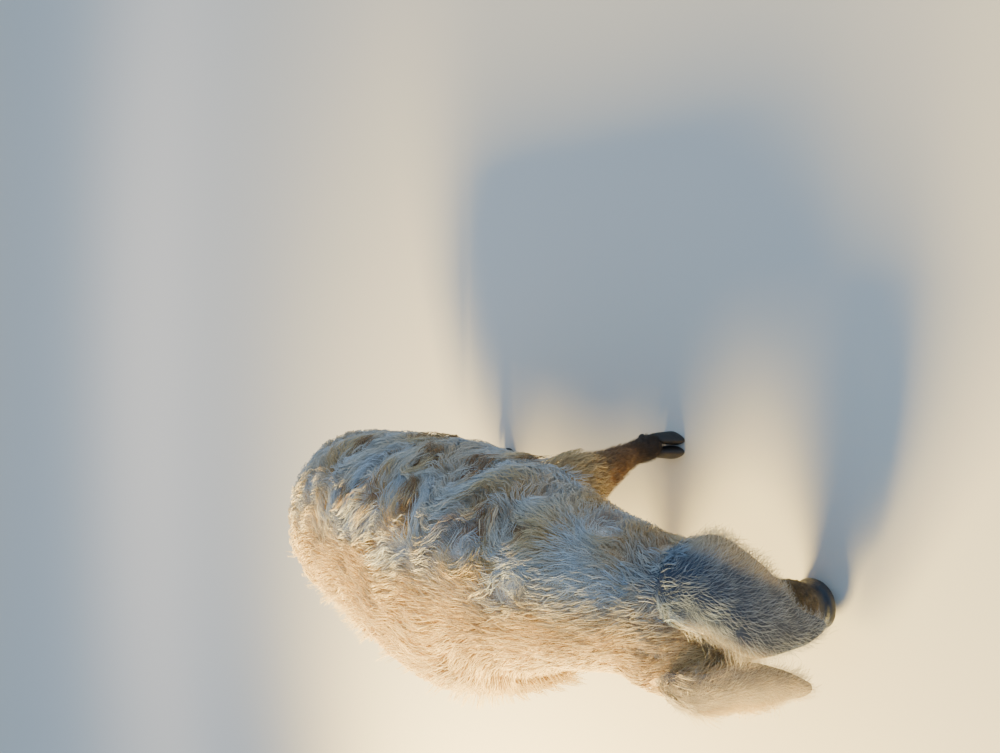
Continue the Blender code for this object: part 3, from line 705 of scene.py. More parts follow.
def foldFace():
    mesh = skin.data
    points, normals = readPoints(mesh), readNormals(mesh)
    at, up, _ = headPlaceOf(points)
    bridge = ramp(at, folds["first"], folds["first"] + 0.03)
    bridge *= 1 - ramp(at, folds["last"] - 0.012, folds["last"])
    bridge *= ramp(up, -0.015, 0.02) * (labels == headPart)
    swell = np.sin(2 * math.pi * at / folds["wavelength"] + 1.6 * waves(points, 0.03, 5))
    cheeks = (labels == headPart) * ramp(at, -0.02, 0.05) * (1 - ramp(at, 0.27, 0.32))
    depth = -folds["depth"] * bridge * (0.5 + 0.5 * swell)
    depth = depth + folds["faceDepth"] * cheeks * waves(points, folds["faceLength"], 8)
    writePoints(mesh, points + normals * depth[:, None])


foldFace()
points, normals = readPoints(skin.data), readNormals(skin.data)


# The lie of the coat: up the face and over the poll, then back and down the body, with curls and a whorl.

lie = {
    # degrees round from the spine, and radians off straight back
    "turnDown": ((0, 40, 90, 130, 180), (0.08, 0.30, 0.80, 1.15, 0.52)),
    "whorl": (0.514, 0.068, 0.597),
    "whorlReach": 0.045,
    "whorlSpin": 1.1,
    # where the right side passes into the left, the rump into the loin, the shoulder into the neck
    "left": (-0.02, 0.07),
    "rump": (-0.56, -0.42),
    "neck": (0.34, 0.50),
    "swirlLeft": 1.05,
    "swirlRight": 0.24,
    "swirlRump": 0.85,
    "swirlNeck": 0.38,
    "flankSwirl": 0.55,
    "swirlLength": 0.215,
    "rumpSwirlLength": 0.085,
    "flankSwirlLength": 0.080,
    "headFrom": (-0.07, 0.03),  # down the head's axis, where the neck's lie passes into the head's
    "pollFrom": (0.52, 0.60),
    "legs": (-0.12, 0.0, -1.0),
    "earSpread": 15.0,
}
curls = {
    # comma-shaped locks: x, y and z of the middle, and its reach
    "places": (
        (0.380, 0.100, 0.631, 0.062),
        (0.352, 0.183, 0.592, 0.046),
        (0.484, 0.152, 0.586, 0.046),
        (0.109, 0.143, 0.661, 0.052),
        (-0.071, 0.140, 0.661, 0.034),
        (0.215, 0.215, 0.540, 0.050),
        (0.020, 0.225, 0.560, 0.046),
        (0.430, 0.215, 0.480, 0.042),
        (0.590, 0.165, 0.440, 0.040),
        (-0.220, 0.130, 0.675, 0.046),
        (-0.330, 0.200, 0.590, 0.042),
        (0.250, 0.230, 0.400, 0.046),
        (-0.160, 0.245, 0.470, 0.048),
    ),
    "pull": 1.5,
    "crestWay": (-0.40, 0.78, -0.48),  # from the middle, where the lock crests
    "crest": (0.85, 0.30),  # how far out the crest lies, in reaches, and its half width
}


def curlParts(points):
    # For each curl, the way out from its middle and how far out, in reaches.
    for *middle, reach in curls["places"]:
        out = points - np.array(middle)
        yield unit(out), np.linalg.norm(out, axis=1) / reach


def crestAt(points):
    # How near a place is to the crest of a curl, 0 to 1.
    most = np.zeros(len(points))
    way, (place, width) = unit(np.array(curls["crestWay"])), curls["crest"]
    for out, apart in curlParts(points):
        most = np.maximum(most, bell(apart - place, width) * ramp(out @ way, 0.1, 0.9))
    return most


stations = np.linspace(trunk["rows"][0][0], trunk["rows"][-1][0], 160)
spineHeights = np.array([smoothValue(trunk["rows"], 1, x) for x in stations])
spineSlopes = np.gradient(spineHeights, stations)


def guideLine(path, steps=24):
    spots = np.array([tuple(path(i / steps)) for i in range(steps + 1)])
    return spots, unit(np.gradient(spots, axis=0))


guideLines = {
    "earLeft": guideLine(lambda share: earPoint(ears["left"], share, 0)),
    "earRight": guideLine(lambda share: earPoint(ears["right"], share, 0)),
    "tail": guideLine(tailPoint),
}


def trunkLie(points, normals):
    x = points[:, 0] - centreShift.x
    down = np.array((0.0, 0.0, -1.0))
    back = unit(np.stack((-np.ones_like(x), np.zeros_like(x), -np.interp(x, stations, spineSlopes)), axis=1))
    around = np.degrees(np.arctan2(np.hypot(normals[:, 0] * 0.3, normals[:, 1]), normals[:, 2]))
    turn = np.interp(around, *lie["turnDown"])[:, None]
    way = back * np.cos(turn) + down * np.sin(turn)
    near = nearness(points, lie["whorl"], lie["whorlReach"])[:, None]
    spun = swung(unit(points - np.array(lie["whorl"])), normals, lie["whorlSpin"])
    way = alongSkin(unit(blend(way, spun, near)), normals)
    left, neck = ramp(points[:, 1], *lie["left"]), ramp(x, *lie["neck"])
    rump = 1 - ramp(x, *lie["rump"])
    strength = blend(blend(lie["swirlRight"], lie["swirlLeft"], left), lie["swirlRump"], rump)
    strength = blend(strength, lie["swirlNeck"] * (0.4 + 0.6 * left), neck)
    swirl = blend(waves(points, lie["swirlLength"], 21), waves(points, lie["rumpSwirlLength"], 22), rump)
    swirl += lie["flankSwirl"] * left * (1 - neck) * waves(points, lie["flankSwirlLength"], 23)
    way = unit(swung(way, normals, (strength * swirl)[:, None]))
    for out, apart in curlParts(points):
        near = (bell(apart) * ramp(apart, 0.0, 0.35))[:, None]
        way = unit(blend(way, np.cross(out, normals) * curls["pull"], near))
    return alongSkin(way, normals)


def headLie(points, normals):
    # The face's hair runs up and back; on the cheeks it turns down towards the throat.
    at, up, _ = headPlaceOf(points)
    along, upward = np.array(headAlong)[None], np.array(headUp)[None]
    cheek = (1 - ramp(up, -0.06, 0.05))[:, None] * (1 - ramp(at, 0.0, 0.20))[:, None]
    overPoll = 1 - ramp(at, -0.03, 0.05)[:, None]
    way = -along * (1 - 1.6 * cheek) - upward * (0.25 + 0.65 * cheek + 0.8 * overPoll)
    return alongSkin(way, normals)


def guidedLie(points, normals, spots, ways, away):
    # Along a line inside the part, and away from it towards the edges.
    nearest = np.linalg.norm(points[:, None] - spots[None], axis=2).argmin(axis=1)
    out = points - spots[nearest]
    out = out - ways[nearest] * dot(out, ways[nearest])
    return alongSkin(ways[nearest] + out * away, normals)


def lieAt(points, normals, labels):
    toHead = ramp(headPlaceOf(points)[0], *lie["headFrom"]) * ramp(points[:, 0], *lie["pollFrom"])
    ways = unit(blend(trunkLie(points, normals), headLie(points, normals), toHead[:, None]))
    for label, name in enumerate(regions):
        chosen = labels == label
        if not chosen.any() or name in ("trunk", "head"):
            continue
        if name == "legs":
            ways[chosen] = alongSkin(np.array(lie["legs"]), normals[chosen])
        else:
            away = 0.0 if name == "tail" else lie["earSpread"]
            ways[chosen] = guidedLie(points[chosen], normals[chosen], *guideLines[name], away)
    return ways


# Where a root sits on an unwrap of the skin: every part has its own chart, rolled out round its own axis.

charts = {
    # start of the axis, its end, then the chart's corner and size
    "trunk": ((-0.76, 0.0, 0.45), (0.66, 0.0, 0.36), (0.02, 0.02), (0.58, 0.96)),
    "legs": ((0.0, 0.0, 0.42), (0.0, 0.0, 0.0), (0.64, 0.50), (0.16, 0.10)),
    "head": ((0.66, 0.0, 0.44), (0.75, 0.0, 0.0), (0.64, 0.02), (0.34, 0.44)),
    "earLeft": ((0.68, 0.09, 0.42), (0.81, 0.0, 0.11), (0.64, 0.76), (0.16, 0.18)),
    "earRight": ((0.68, -0.09, 0.42), (0.80, -0.14, 0.11), (0.82, 0.76), (0.16, 0.18)),
    "tail": ((-0.82, 0.02, 0.60), (-0.82, 0.02, 0.28), (0.64, 0.96), (0.30, 0.03)),
    # the legs' axes: x of fore and hind, y of left and right, then the step between their charts
    "legX": (0.28, -0.48),
    "legY": (0.20, -0.16),
    "legStep": (0.18, 0.12),
    # how much of the trunk's chart the round of the rump takes, its reach and where it ends
    "capShare": 0.14,
    "capReach": 0.2,
    "capUntil": 0.12,
    "patch": 0.003,  # side of one strand's patch
}


def unwrapPlace(points, labels):
    places = np.zeros((len(points), 2))
    for label, name in enumerate(regions):
        chosen = labels == label
        if not chosen.any():
            continue
        start, end, corner, size = (np.array(part) for part in charts[name])
        spots = points[chosen] - start
        if name == "legs":
            fore, left = points[chosen, 0] > 0, points[chosen, 1] > 0
            spots[:, 0] -= np.where(fore, *charts["legX"])
            spots[:, 1] -= np.where(left, *charts["legY"])
            corner = corner + np.stack((fore, left), axis=1) * np.array(charts["legStep"])
        reach = np.linalg.norm(end - start)
        axis = (end - start) / reach
        along = spots @ axis / reach
        across = np.cross(axis, (0.0, 1.0, 0.0)) if name != "tail" else np.array((1.0, 0.0, 0.0))
        flat = np.stack((spots @ across, spots @ np.cross(axis, across)), axis=1)
        around = np.arctan2(flat[:, 1], flat[:, 0]) / (2 * math.pi) + 0.5
        if name == "trunk":
            cap = np.clip(1 - np.linalg.norm(flat, axis=1) / charts["capReach"], 0, 1)
            cap = cap * (along < charts["capUntil"])
            along = charts["capShare"] * (1 - cap) + (1 - charts["capShare"]) * along
        places[chosen] = corner + size * np.stack((np.clip(along, 0, 1), around), axis=1)
    return places


# Markings and painted shade: how tan, how dark and how grey the hair and the skin are at a place. Part is the
# pig's own colour. Part is painted shade: the grey-blue left flank and left ear, and the tan and rust on the
# locks' crests and in their hollows.

def reliefAt(points):
    # Where the locks crest, 1, and where they leave a hollow, -1.
    return np.clip(0.7 * waves(points * np.array((1.0, 1.0, 0.8)), 0.105, 51) + 1.3 * crestAt(points), -1, 1)


markingsAndShade = {
    "swirlLength": 0.17,
    "legRust": (0.31, 0.17),  # from here down to here the legs turn rust
    "legDark": (0.19, 0.07),  # and then near black
    "muzzleDark": (0.16, 0.27),  # down the head's axis
    "earRim": (0.042, 0.072),  # away from the rib of the ear, where its edge is paler, with less of the painted shade
    "slate": ((0.725, 0.105, 0.41), 0.075),  # painted shade, dark and grey-blue, round the root of the left ear: middle and reach
    "left": (-0.02, 0.08),  # where the cream right side passes into the left side, painted in grey-blue shade
}


def markingsAndShadeAt(points, labels):
    at, x, height = headPlaceOf(points)[0], points[:, 0], points[:, 2]
    left, relief, crest = ramp(points[:, 1], *markingsAndShade["left"]), reliefAt(points), crestAt(points)
    rim, slate = earRimAt(points, labels), earRootShadeAt(points)
    onTrunk, onLeg, onHead = labels == trunkPart, labels == legPart, labels == headPart
    onEar = (labels == leftEar) | (labels == rightEar)
    tan = 0.20 + 0.16 * waves(points, markingsAndShade["swirlLength"], 31) + 0.10 * waves(points, 0.045, 32)
    # Painted shade: tan in the hollows of the right side, and tan on the crests of the locks for their shaded
    # sides.
    hollowShade = 0.20 * ramp(-relief, 0.2, 0.9) * (1 - left)
    tan += onTrunk * (hollowShade + 0.30 * ramp(relief, 0.45, 0.9) * left + 0.75 * crest)
    # Painted light: the warmer tan low on the body stands for light glowing through the belly's fringe; the
    # tan towards the neck is the hair's own.
    tan += 0.20 * ramp(x, 0.52, 0.72) + 0.28 * ramp(height, 0.36, 0.26) * onTrunk
    tan[onLeg] += 0.25
    tan[onEar] = 0.10 + 0.1 * waves(points, 0.06, 33)[onEar]
    tan += (labels == rightEar) * 0.40 * ramp(height, 0.30, 0.37)
    dark = 0.80 * ramp(at, *markingsAndShade["muzzleDark"]) * onHead
    dark += 0.9 * ramp(height, *markingsAndShade["legDark"]) * onLeg
    # Painted shade: the left ear darker than the right, less so at its rims, and darker round its root.
    dark += 0.36 * (1 - rim) * (labels == leftEar) + 0.16 * slate
    # Painted shade: rust on the crests of the locks, for their shaded sides; the legs' rust below is their
    # own colour.
    rust = (0.34 * crest + 0.12 * ramp(relief, 0.55, 0.95) * left) * onTrunk
    rust += 0.8 * ramp(height, *markingsAndShade["legRust"]) * onLeg
    # Painted shade: grey-blue on the ears, far less on the lit right ear, paler at the rims, and round the
    # left ear's root.
    grey = onEar * (0.85 - 0.70 * rim) * np.where(labels == rightEar, 0.25, 1.0) + 0.75 * slate
    # Painted shade: grey-blue over the left flank, most in its hollows, where that side lies in shade.
    grey += onTrunk * left * (0.50 + 0.30 * ramp(-relief, -0.2, 0.6)) * (1 - ramp(relief, 0.2, 0.8))
    return np.stack([np.clip(part, 0, 1) for part in (tan, dark, grey, rust)], axis=1)


def earRootShadeAt(points):
    # Painted shade round the root of the left ear, 1 at its middle.
    return nearness(points, *markingsAndShade["slate"])


def earRimAt(points, labels):
    # 0 on the rib of an ear, 1 along its edges.
    rim = np.zeros(len(points))
    for label in (leftEar, rightEar):
        chosen = labels == label
        rib = guideLines[regions[label]][0]
        apart = np.linalg.norm(points[chosen][:, None] - rib[None], axis=2).min(axis=1)
        rim[chosen] = ramp(apart, *markingsAndShade["earRim"])
    return rim


def storeAttribute(mesh, name, kind, values, domain="POINT"):
    attribute = mesh.attributes.new(name, kind, domain)
    slot = {"FLOAT": "value", "FLOAT_VECTOR": "vector", "FLOAT_COLOR": "color", "FLOAT2": "vector"}[kind]
    attribute.data.foreach_set(slot, np.asarray(values, dtype=np.float32).ravel())


# The long coat: tufts whose strands start together, follow the lie and close to a point.

bodyCoat = {
    "spacing": 0.0174,
    "strands": 4,
    "points": 6,
    "length": 0.086,
    "rumpLength": 0.056,
    "bellyLength": 0.062,
    "width": 0.0015,
    "spread": 0.0125,
    "depth": 0.031,
    "wave": 0.0013,
    "leftCurl": 1.5,  # how much more the left side waves
    "rumpWave": 0.0075,
    "waveLength": 0.042,
    "strays": 0.09,
    # where along the right side the coat stands up in rough tufts, and how far
    "manes": ((-0.20, 0.22), (0.33, 0.12)),
    "seed": 41,
}
neckCoat = {
    "spacing": 0.0132,
    "strands": 4,
    "points": 5,
    "length": 0.058,
    "rumpLength": 0.058,
    "bellyLength": 0.050,
    "width": 0.0013,
    "spread": 0.0085,
    "depth": 0.021,
    "wave": 0.0010,
    "leftCurl": 1.5,
    "rumpWave": 0.0010,
    "waveLength": 0.030,
    "strays": 0.10,
    "manes": (),
    "seed": 42,
}
coatShape = {
    "rump": (-0.60, -0.42),
    "thin": (0.42, 0.70),  # where the coat grows thinner towards the head
    "rise": 0.45,  # share of its length in which a strand rises
    "sunk": 0.003,
    "taper": ((0, 0.3, 0.6, 0.85, 1), (0.8, 1, 0.9, 0.55, 0)),  # share of the length, share of the width
    "tries": 7,  # random places for each cell
}
coatEnds = {
    "neckFrom": 0.44,  # from here forwards the shorter coat of neck, cheeks and poll takes over
    "cheekTo": 0.065,  # and it ends here, down the head's axis
    "legFrom": 0.27,  # height above which the legs carry the long coat
    "earRoot": 0.022,  # how far from its seam an ear still carries the neck's coat
}

skinTree = BVHTree.FromPolygons([tuple(p) for p in points], [tuple(p.vertices) for p in skin.data.polygons])
faceCorners = np.array([p.vertices[0] for p in skin.data.polygons])


def onSkin(spots):
    found = [skinTree.find_nearest(spot) for spot in spots]
    corner = faceCorners[[f[2] for f in found]]
    return np.array([tuple(f[0]) for f in found]), normals[corner], labels[corner]


def scatterRoots(vertexShare, spacing, seed):
    # Random places on the skin, at most one in each cell of this size.
    draw = np.random.default_rng(seed)
    mesh = skin.data
    mesh.calc_loop_triangles()
    corners = readAll(mesh.loop_triangles, "vertices", 3, np.int64)
    corners = corners[vertexShare[corners].min(axis=1) > 0]
    a, b, c = (points[corners[:, i]] for i in range(3))
    area = np.linalg.norm(np.cross(b - a, c - a), axis=1) / 2
    count = int(area.sum() / spacing**2 * coatShape["tries"])
    chosen = draw.choice(len(area), count, p=area / area.sum())
    r, s = np.sqrt(draw.random((count, 1))), draw.random((count, 1))
    spots = a[chosen] * (1 - r) + b[chosen] * r * (1 - s) + c[chosen] * r * s
    _, first = np.unique(np.floor(spots / spacing).astype(np.int64), axis=0, return_index=True)
    return onSkin(spots[draw.permutation(first)])


def coatLength(kind, spots, ways):
    rump = 1 - ramp(spots[:, 0], -0.60, -0.44)
    belly = ramp(-ways[:, 2], 0.1, 0.7)
    length = kind["length"] * (1 - 0.30 * ramp(headPlaceOf(spots)[0], -0.16, 0.05))
    length = blend(blend(length, kind["rumpLength"], rump), kind["bellyLength"], belly)
    return length * (1 - 0.35 * ramp(0.30 - spots[:, 2], 0, 0.06) * (np.abs(ways[:, 2]) < 0.8))


def traceTufts(spots, ways, places, lengths, count, wander):
    # The middle line of each tuft, walked over the skin along the lie.
    lines, tops, sides = [spots], [ways], []
    for _ in range(count - 1):
        heading = lieAt(spots, ways, places)
        heading = unit(heading + np.cross(ways, heading) * wander)
        sides.append(np.cross(ways, heading))
        spots, nextWays, places = onSkin(spots + heading * (lengths / (count - 1))[:, None])
        ways = unit(ways + nextWays)
        lines.append(spots)
        tops.append(ways)
    sides.append(sides[-1])
    return (np.stack(parts, axis=1) for parts in (lines, tops, sides))


def perTuft(values):
    return values[:, None, None]


def growCoat(kind, vertexShare):
    # All strands of a coat as one block of points: strand by strand, root to tip.
    draw = np.random.default_rng(kind["seed"])
    spots, ways, places = scatterRoots(vertexShare, kind["spacing"], kind["seed"])
    count, strands, n = kind["points"], kind["strands"], len(spots)
    x, y = spots[:, 0], spots[:, 1]
    lengths = coatLength(kind, spots, ways) * draw.uniform(0.82, 1.18, n)
    rump = 1 - ramp(x, *coatShape["rump"])
    crown = nearness(spots, lie["whorl"], 0.06)
    crown = crown + sum(0.5 * bell(apart, 0.4) for _, apart in curlParts(spots)) + 0.6 * earRootShadeAt(spots)
    crown = crown + 0.35 * rump
    wander = (draw.normal(0, 1, n) * (0.10 + 0.75 * crown))[:, None]
    mane = sum(bell(x - middle, reach) for middle, reach in kind["manes"]) + np.zeros(n)
    mane = mane * ramp(-y, 0.07, 0.14) * ramp(ways[:, 2], -0.6, 0.0)
    mane = mane * ramp(waves(spots, 0.06, 52), -0.5, 0.2)
    clump = draw.random(n) < 0.8 * mane
    lengths = lengths * (1 + 0.25 * clump)
    lines, tops, sides = traceTufts(spots, ways, places, lengths, count, wander)
    rump, clump = perTuft(rump), perTuft(clump)
    share, size = np.linspace(0, 1, count), (n, strands, 1)
    across = draw.uniform(-1, 1, size) * kind["spread"]
    combed = 1 - 0.35 * perTuft(ramp(-y, 0.0, 0.10))
    height = (1 - 0.45 * combed * draw.random(size) ** 1.6) * (0.74 + 0.26 * perTuft(reliefAt(spots)))
    height = height * (1 - 0.45 * perTuft(ramp(x, *coatShape["thin"])))
    phase = draw.uniform(0, 2 * math.pi, (n, 1, 1)) + draw.normal(0, 0.9, size)
    turn = 2 * math.pi * share * perTuft(lengths) / kind["waveLength"] + phase
    curly = 1 + kind["leftCurl"] * perTuft(ramp(y, 0.0, 0.10))
    swing = blend(kind["wave"] * curly, kind["rumpWave"], rump) * ramp(share, 0.0, 0.45)
    close = draw.uniform(-0.1, 0.7, size)
    offset = across * (1 - close * ramp(share, 0.15, 1.0)) + swing * np.sin(turn)
    stray = (draw.random(size) < kind["strays"]) * draw.uniform(0.2, 1.0, size)
    stray = stray + clump * draw.uniform(1.5, 4.5, (n, 1, 1))
    swing = swing * (1 + 2.5 * clump)
    lift = kind["depth"] * height * np.sin(math.pi / 2 * np.clip(share / coatShape["rise"], 0, 1))
    lift = lift * (1 - 0.20 * ramp(share, 0.6, 1.0)) - coatShape["sunk"] * (1 - ramp(share, 0, 0.15))
    lift = lift + 0.5 * swing * np.cos(turn) + 0.009 * stray * ramp(share, 0.5, 1.0)
    lift = np.maximum(lift, coatShape["sunk"] * (2 * share - 1))
    centres = lines[:, None] + sides[:, None] * offset[..., None] + tops[:, None] * lift[..., None]
    width = kind["width"] * draw.uniform(0.75, 1.2, size) * np.interp(share, *coatShape["taper"])

    def each(block):
        return np.repeat(block, strands, axis=0)

    return {
        "centres": centres.reshape(n * strands, count, 3),
        "sides": each(sides),
        "tops": each(tops),
        "width": width.reshape(n * strands, count),
        "uv": each(unwrapPlace(spots, places)),
        "tint": each(markingsAndShadeAt(spots, places)),
        "shade": draw.uniform(0, 1, n * strands),
        "x": each(x),
    }


def strandFaces(rings):
    # A three-sided strand: quads from ring to ring, then the faces of its point and of its root.
    around, last = ((0, 1), (1, 2), (2, 0)), 3 * (rings - 1)
    quads = [(r + i, r + j, r + 3 + j, r + 3 + i) for r in range(0, last, 3) for i, j in around]
    return quads + [(last + i, last + j, last + 3) for i, j in around] + [(0, 2, 1)]


def strandMesh(name, coat, chosen):
    centres, sides, tops, width = (coat[key][chosen] for key in ("centres", "sides", "tops", "width"))
    n, count = width.shape
    rings = count - 1
    half, thick = (sides * width[..., None] / 2)[:, :rings], (tops * width[..., None] * 0.5)[:, :rings]
    body = centres[:, :rings]
    ring = np.stack((body - half - thick * 0.4, body + half - thick * 0.4, body + thick), axis=2)
    spots = np.concatenate((ring.reshape(n, rings * 3, 3), centres[:, -1:]), axis=1)
    perStrand = rings * 3 + 1
    faces = strandFaces(rings)
    pattern = np.array([c for face in faces for c in face])
    corners = (pattern[None] + perStrand * np.arange(n)[:, None]).ravel()
    starts = np.concatenate(([0], np.cumsum(np.tile([len(face) for face in faces], n))[:-1]))
    mesh = bpy.data.meshes.new(name)
    mesh.vertices.add(n * perStrand)
    mesh.vertices.foreach_set("co", spots.astype(np.float32).ravel())
    mesh.loops.add(len(corners))
    mesh.loops.foreach_set("vertex_index", corners.astype(np.int32))
    mesh.polygons.add(len(starts))
    mesh.polygons.foreach_set("loop_start", starts.astype(np.int32))
    mesh.update(calc_edges=True)
    share = np.append(np.repeat(np.arange(rings) / rings, 3), 1.0)
    acrossPatch = np.append(np.tile((0.0, 1.0, 0.5), rings), 0.5)
    inPatch = charts["patch"] * np.stack((acrossPatch, share), axis=1)
    uv = coat["uv"][chosen][:, None] + inPatch[None] - charts["patch"] / 2
    storeAttribute(mesh, "share", "FLOAT", np.tile(share, n))
    storeAttribute(mesh, "shade", "FLOAT", np.repeat(coat["shade"][chosen], perStrand))
    storeAttribute(mesh, "coatTint", "FLOAT_COLOR", np.repeat(coat["tint"][chosen], perStrand, axis=0))
    layer = mesh.uv_layers.new(name="OFBake")
    layer.uv.foreach_set("vector", uv.reshape(-1, 2)[corners].astype(np.float32).ravel())
    mesh.shade_smooth()
    return mesh


at, up, _ = headPlaceOf(points)
behindNeck, overCheeks = points[:, 0] < coatEnds["neckFrom"], at < coatEnds["cheekTo"]
bodyShare = ((labels == trunkPart) & behindNeck).astype(float)
bodyShare[(labels == legPart) & (points[:, 2] > coatEnds["legFrom"])] = 1
onNeck = (labels == trunkPart) & ~behindNeck | (labels == headPart) & overCheeks
onEarRoot = ((labels == leftEar) | (labels == rightEar)) & (nearTwo < coatEnds["earRoot"])
bodyHair = growCoat(bodyCoat, bodyShare)
neckHair = growCoat(neckCoat, (onNeck | onEarRoot).astype(float))
print("coat grown", len(bodyHair["x"]), "and", len(neckHair["x"]), "strands")


# Materials, each named for its finish.

def startMaterial(name):
    material = bpy.data.materials.new(name)
    material.use_nodes = True
    tree = material.node_tree
    return material, tree, tree.nodes["Principled BSDF"]


def readAttribute(tree, name):
    return addNode(tree, "ShaderNodeAttribute", attribute_name=name).outputs["Fac"]


def mixColours(tree, share, first, second, blend="MIX"):
    inputs = {0: share, 6: first, 7: second}
    return addNode(tree, "ShaderNodeMix", inputs, data_type="RGBA", blend_type=blend).outputs[2]


def mapRange(tree, value, low=0.0, high=1.0, lowest=0.0, highest=1.0):
    inputs = {"Value": value, "From Min": low, "From Max": high, "To Min": lowest, "To Max": highest}
    return addNode(tree, "ShaderNodeMapRange", inputs).outputs[0]


def addNoise(tree, place, scale, detail=3.0, roughness=0.5):
    inputs = {"Vector": place, "Scale": scale, "Detail": detail, "Roughness": roughness}
    return addNode(tree, "ShaderNodeTexNoise", inputs).outputs["Fac"]


def addBump(tree, height, strength, distance):
    inputs = {"Height": height, "Strength": strength, "Distance": distance}
    return addNode(tree, "ShaderNodeBump", inputs).outputs["Normal"]


# Colours of the markings and of painted shade: grey is the grey-blue of shaded hair, the ear hide is dark
# hide tinted blue as painted shade, root darkens hair towards its root partly as painted shade, and tan and
# rust also paint the locks' shaded crests.
coatColours = {
    "cream": colour("#FBE0A4"),
    "tan": colour("#B39670"),
    "root": colour("#AE8F66"),
    "rust": colour("#70421F"),
    "dark": colour("#221C18"),
    "grey": colour("#CFDEEA"),
    "earHideAndShade": colour("#252F3F"),
}


def coatMarkingsAndShade(tree):
    # The same markings and painted shade on skin and hair: cream to tan and rust and near black feet, then
    # painted shade as grey-blue on the ears and left flank and as tan and rust on the locks.
    tint = addNode(tree, "ShaderNodeAttribute", attribute_name="coatTint")
    split = addNode(tree, "ShaderNodeSeparateColor", {"Color": tint.outputs["Color"]})
    tan, dark, grey = (split.outputs[i] for i in range(3))
    mixed = mixColours(tree, tan, coatColours["cream"], coatColours["tan"])
    for share, name in ((grey, "grey"), (tint.outputs["Alpha"], "rust"), (dark, "dark")):
        mixed = mixColours(tree, share, mixed, coatColours[name])
    return mixed


def makeHairMaterial():
    # Coarse wavy bristle hair, dry and a little silky: darker at the root, partly its own tone and partly
    # painted shade deep in the coat, and paler along its length.
    material, tree, shader = startMaterial("mangalica_bristle_hair")
    base = coatMarkingsAndShade(tree)
    # Painted shade towards the root, where the hair lies deep in the coat.
    rootShadeShare = mapRange(tree, readAttribute(tree, "share"), 0.0, 0.7, 0.55, 0.0)
    base = mixColours(tree, rootShadeShare, base, mixColours(tree, 1.0, base, coatColours["root"], "MULTIPLY"))
    light = mapRange(tree, readAttribute(tree, "shade"), lowest=0.74, highest=1.08)
    lightColour = addNode(tree, "ShaderNodeCombineColor", {"Red": light, "Green": light, "Blue": light})
    base = mixColours(tree, 1.0, base, lightColour.outputs[0], "MULTIPLY")
    setInputs(tree, shader, {"Base Color": base, "Roughness": 0.5, "IOR": 1.55, "Specular IOR Level": 0.35})
    return material


def makeSkinMaterial():
    # Dense undercoat over dark hide: fine short streaks at hair width, darkened in streaks as painted shade
    # between the hairs, and slate leather on the snout.
    material, tree, shader = startMaterial("undercoat_and_slate_hide")
    place = addNode(tree, "ShaderNodeTexCoord").outputs["Object"]
    streaks = addNoise(tree, place, 420.0, roughness=0.6)
    pores = addNode(tree, "ShaderNodeTexVoronoi", {"Vector": place, "Scale": 520.0}).outputs["Distance"]
    bare = readAttribute(tree, "bare")
    fur = coatMarkingsAndShade(tree)
    # Painted shade on the undercoat, in fine streaks between the hairs.
    undercoatShade = mixColours(tree, 1.0, fur, coatColours["root"], "MULTIPLY")
    fur = mixColours(tree, mapRange(tree, streaks, 0.35, 0.65), fur, undercoatShade)
    # The ears' dark hide, with painted shade in its blue tint and in its strength on the left ear.
    fur = mixColours(tree, readAttribute(tree, "earHideAndShade"), fur, coatColours["earHideAndShade"])
    hide = mixColours(tree, streaks, colour("#15181D"), colour("#2C2D31"))
    height = addNode(tree, "ShaderNodeMix", {0: bare, 2: streaks, 3: pores}, data_type="FLOAT").outputs[0]
    setInputs(tree, shader, {
        "Base Color": mixColours(tree, bare, fur, hide),
        "Normal": addBump(tree, height, 0.55, 0.0012),
        "Roughness": mapRange(tree, bare, lowest=0.85, highest=0.42),
    })
    return material


hair, hide = makeHairMaterial(), makeSkinMaterial()

# The ears' dark hide shows through their sparse hair; painted shade makes it bluer and stronger on the left
# ear than on the right, and adds it round the left ear's root.
onEars = (labels == leftEar) + 0.65 * (labels == rightEar)
earHideAndShade = np.maximum(onEars * (0.95 - 0.45 * earRimAt(points, labels)), 0.9 * earRootShadeAt(points))
bare = (labels == headPart) * np.maximum(ramp(at, 0.318, 0.338), 0.40 * ramp(at, 0.24, 0.32))
storeAttribute(skin.data, "coatTint", "FLOAT_COLOR", markingsAndShadeAt(points, labels))
storeAttribute(skin.data, "earHideAndShade", "FLOAT", earHideAndShade)
storeAttribute(skin.data, "bare", "FLOAT", bare)
skin.data.materials.clear()
skin.data.materials.append(hide)
skin.data.shade_smooth()
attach(skin, "root")
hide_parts("torso", "neck", "head", "lower_jaw", "snout", "tail", "ear_left", "ear_right", *legNames)

coatPieces = (
    (bodyHair, ("coatRump", "coatHam", "coatLoin", "coatBarrel", "coatGirth", "coatShoulder", "coatBreast")),
    (neckHair, ("coatNeck", "coatPoll")),
)
for hairBlock, names in coatPieces:
    chunks = np.array_split(np.argsort(hairBlock["x"]), len(names))
    for name, chosen in zip(names, chunks):
        piece = placeObject(name, strandMesh(name, hairBlock, chosen), hair)
        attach(piece, "root")
        print(name, len(chosen), "strands")


# The short fur of face, ears, legs and tail: small tufts set along the lie by Geometry Nodes.

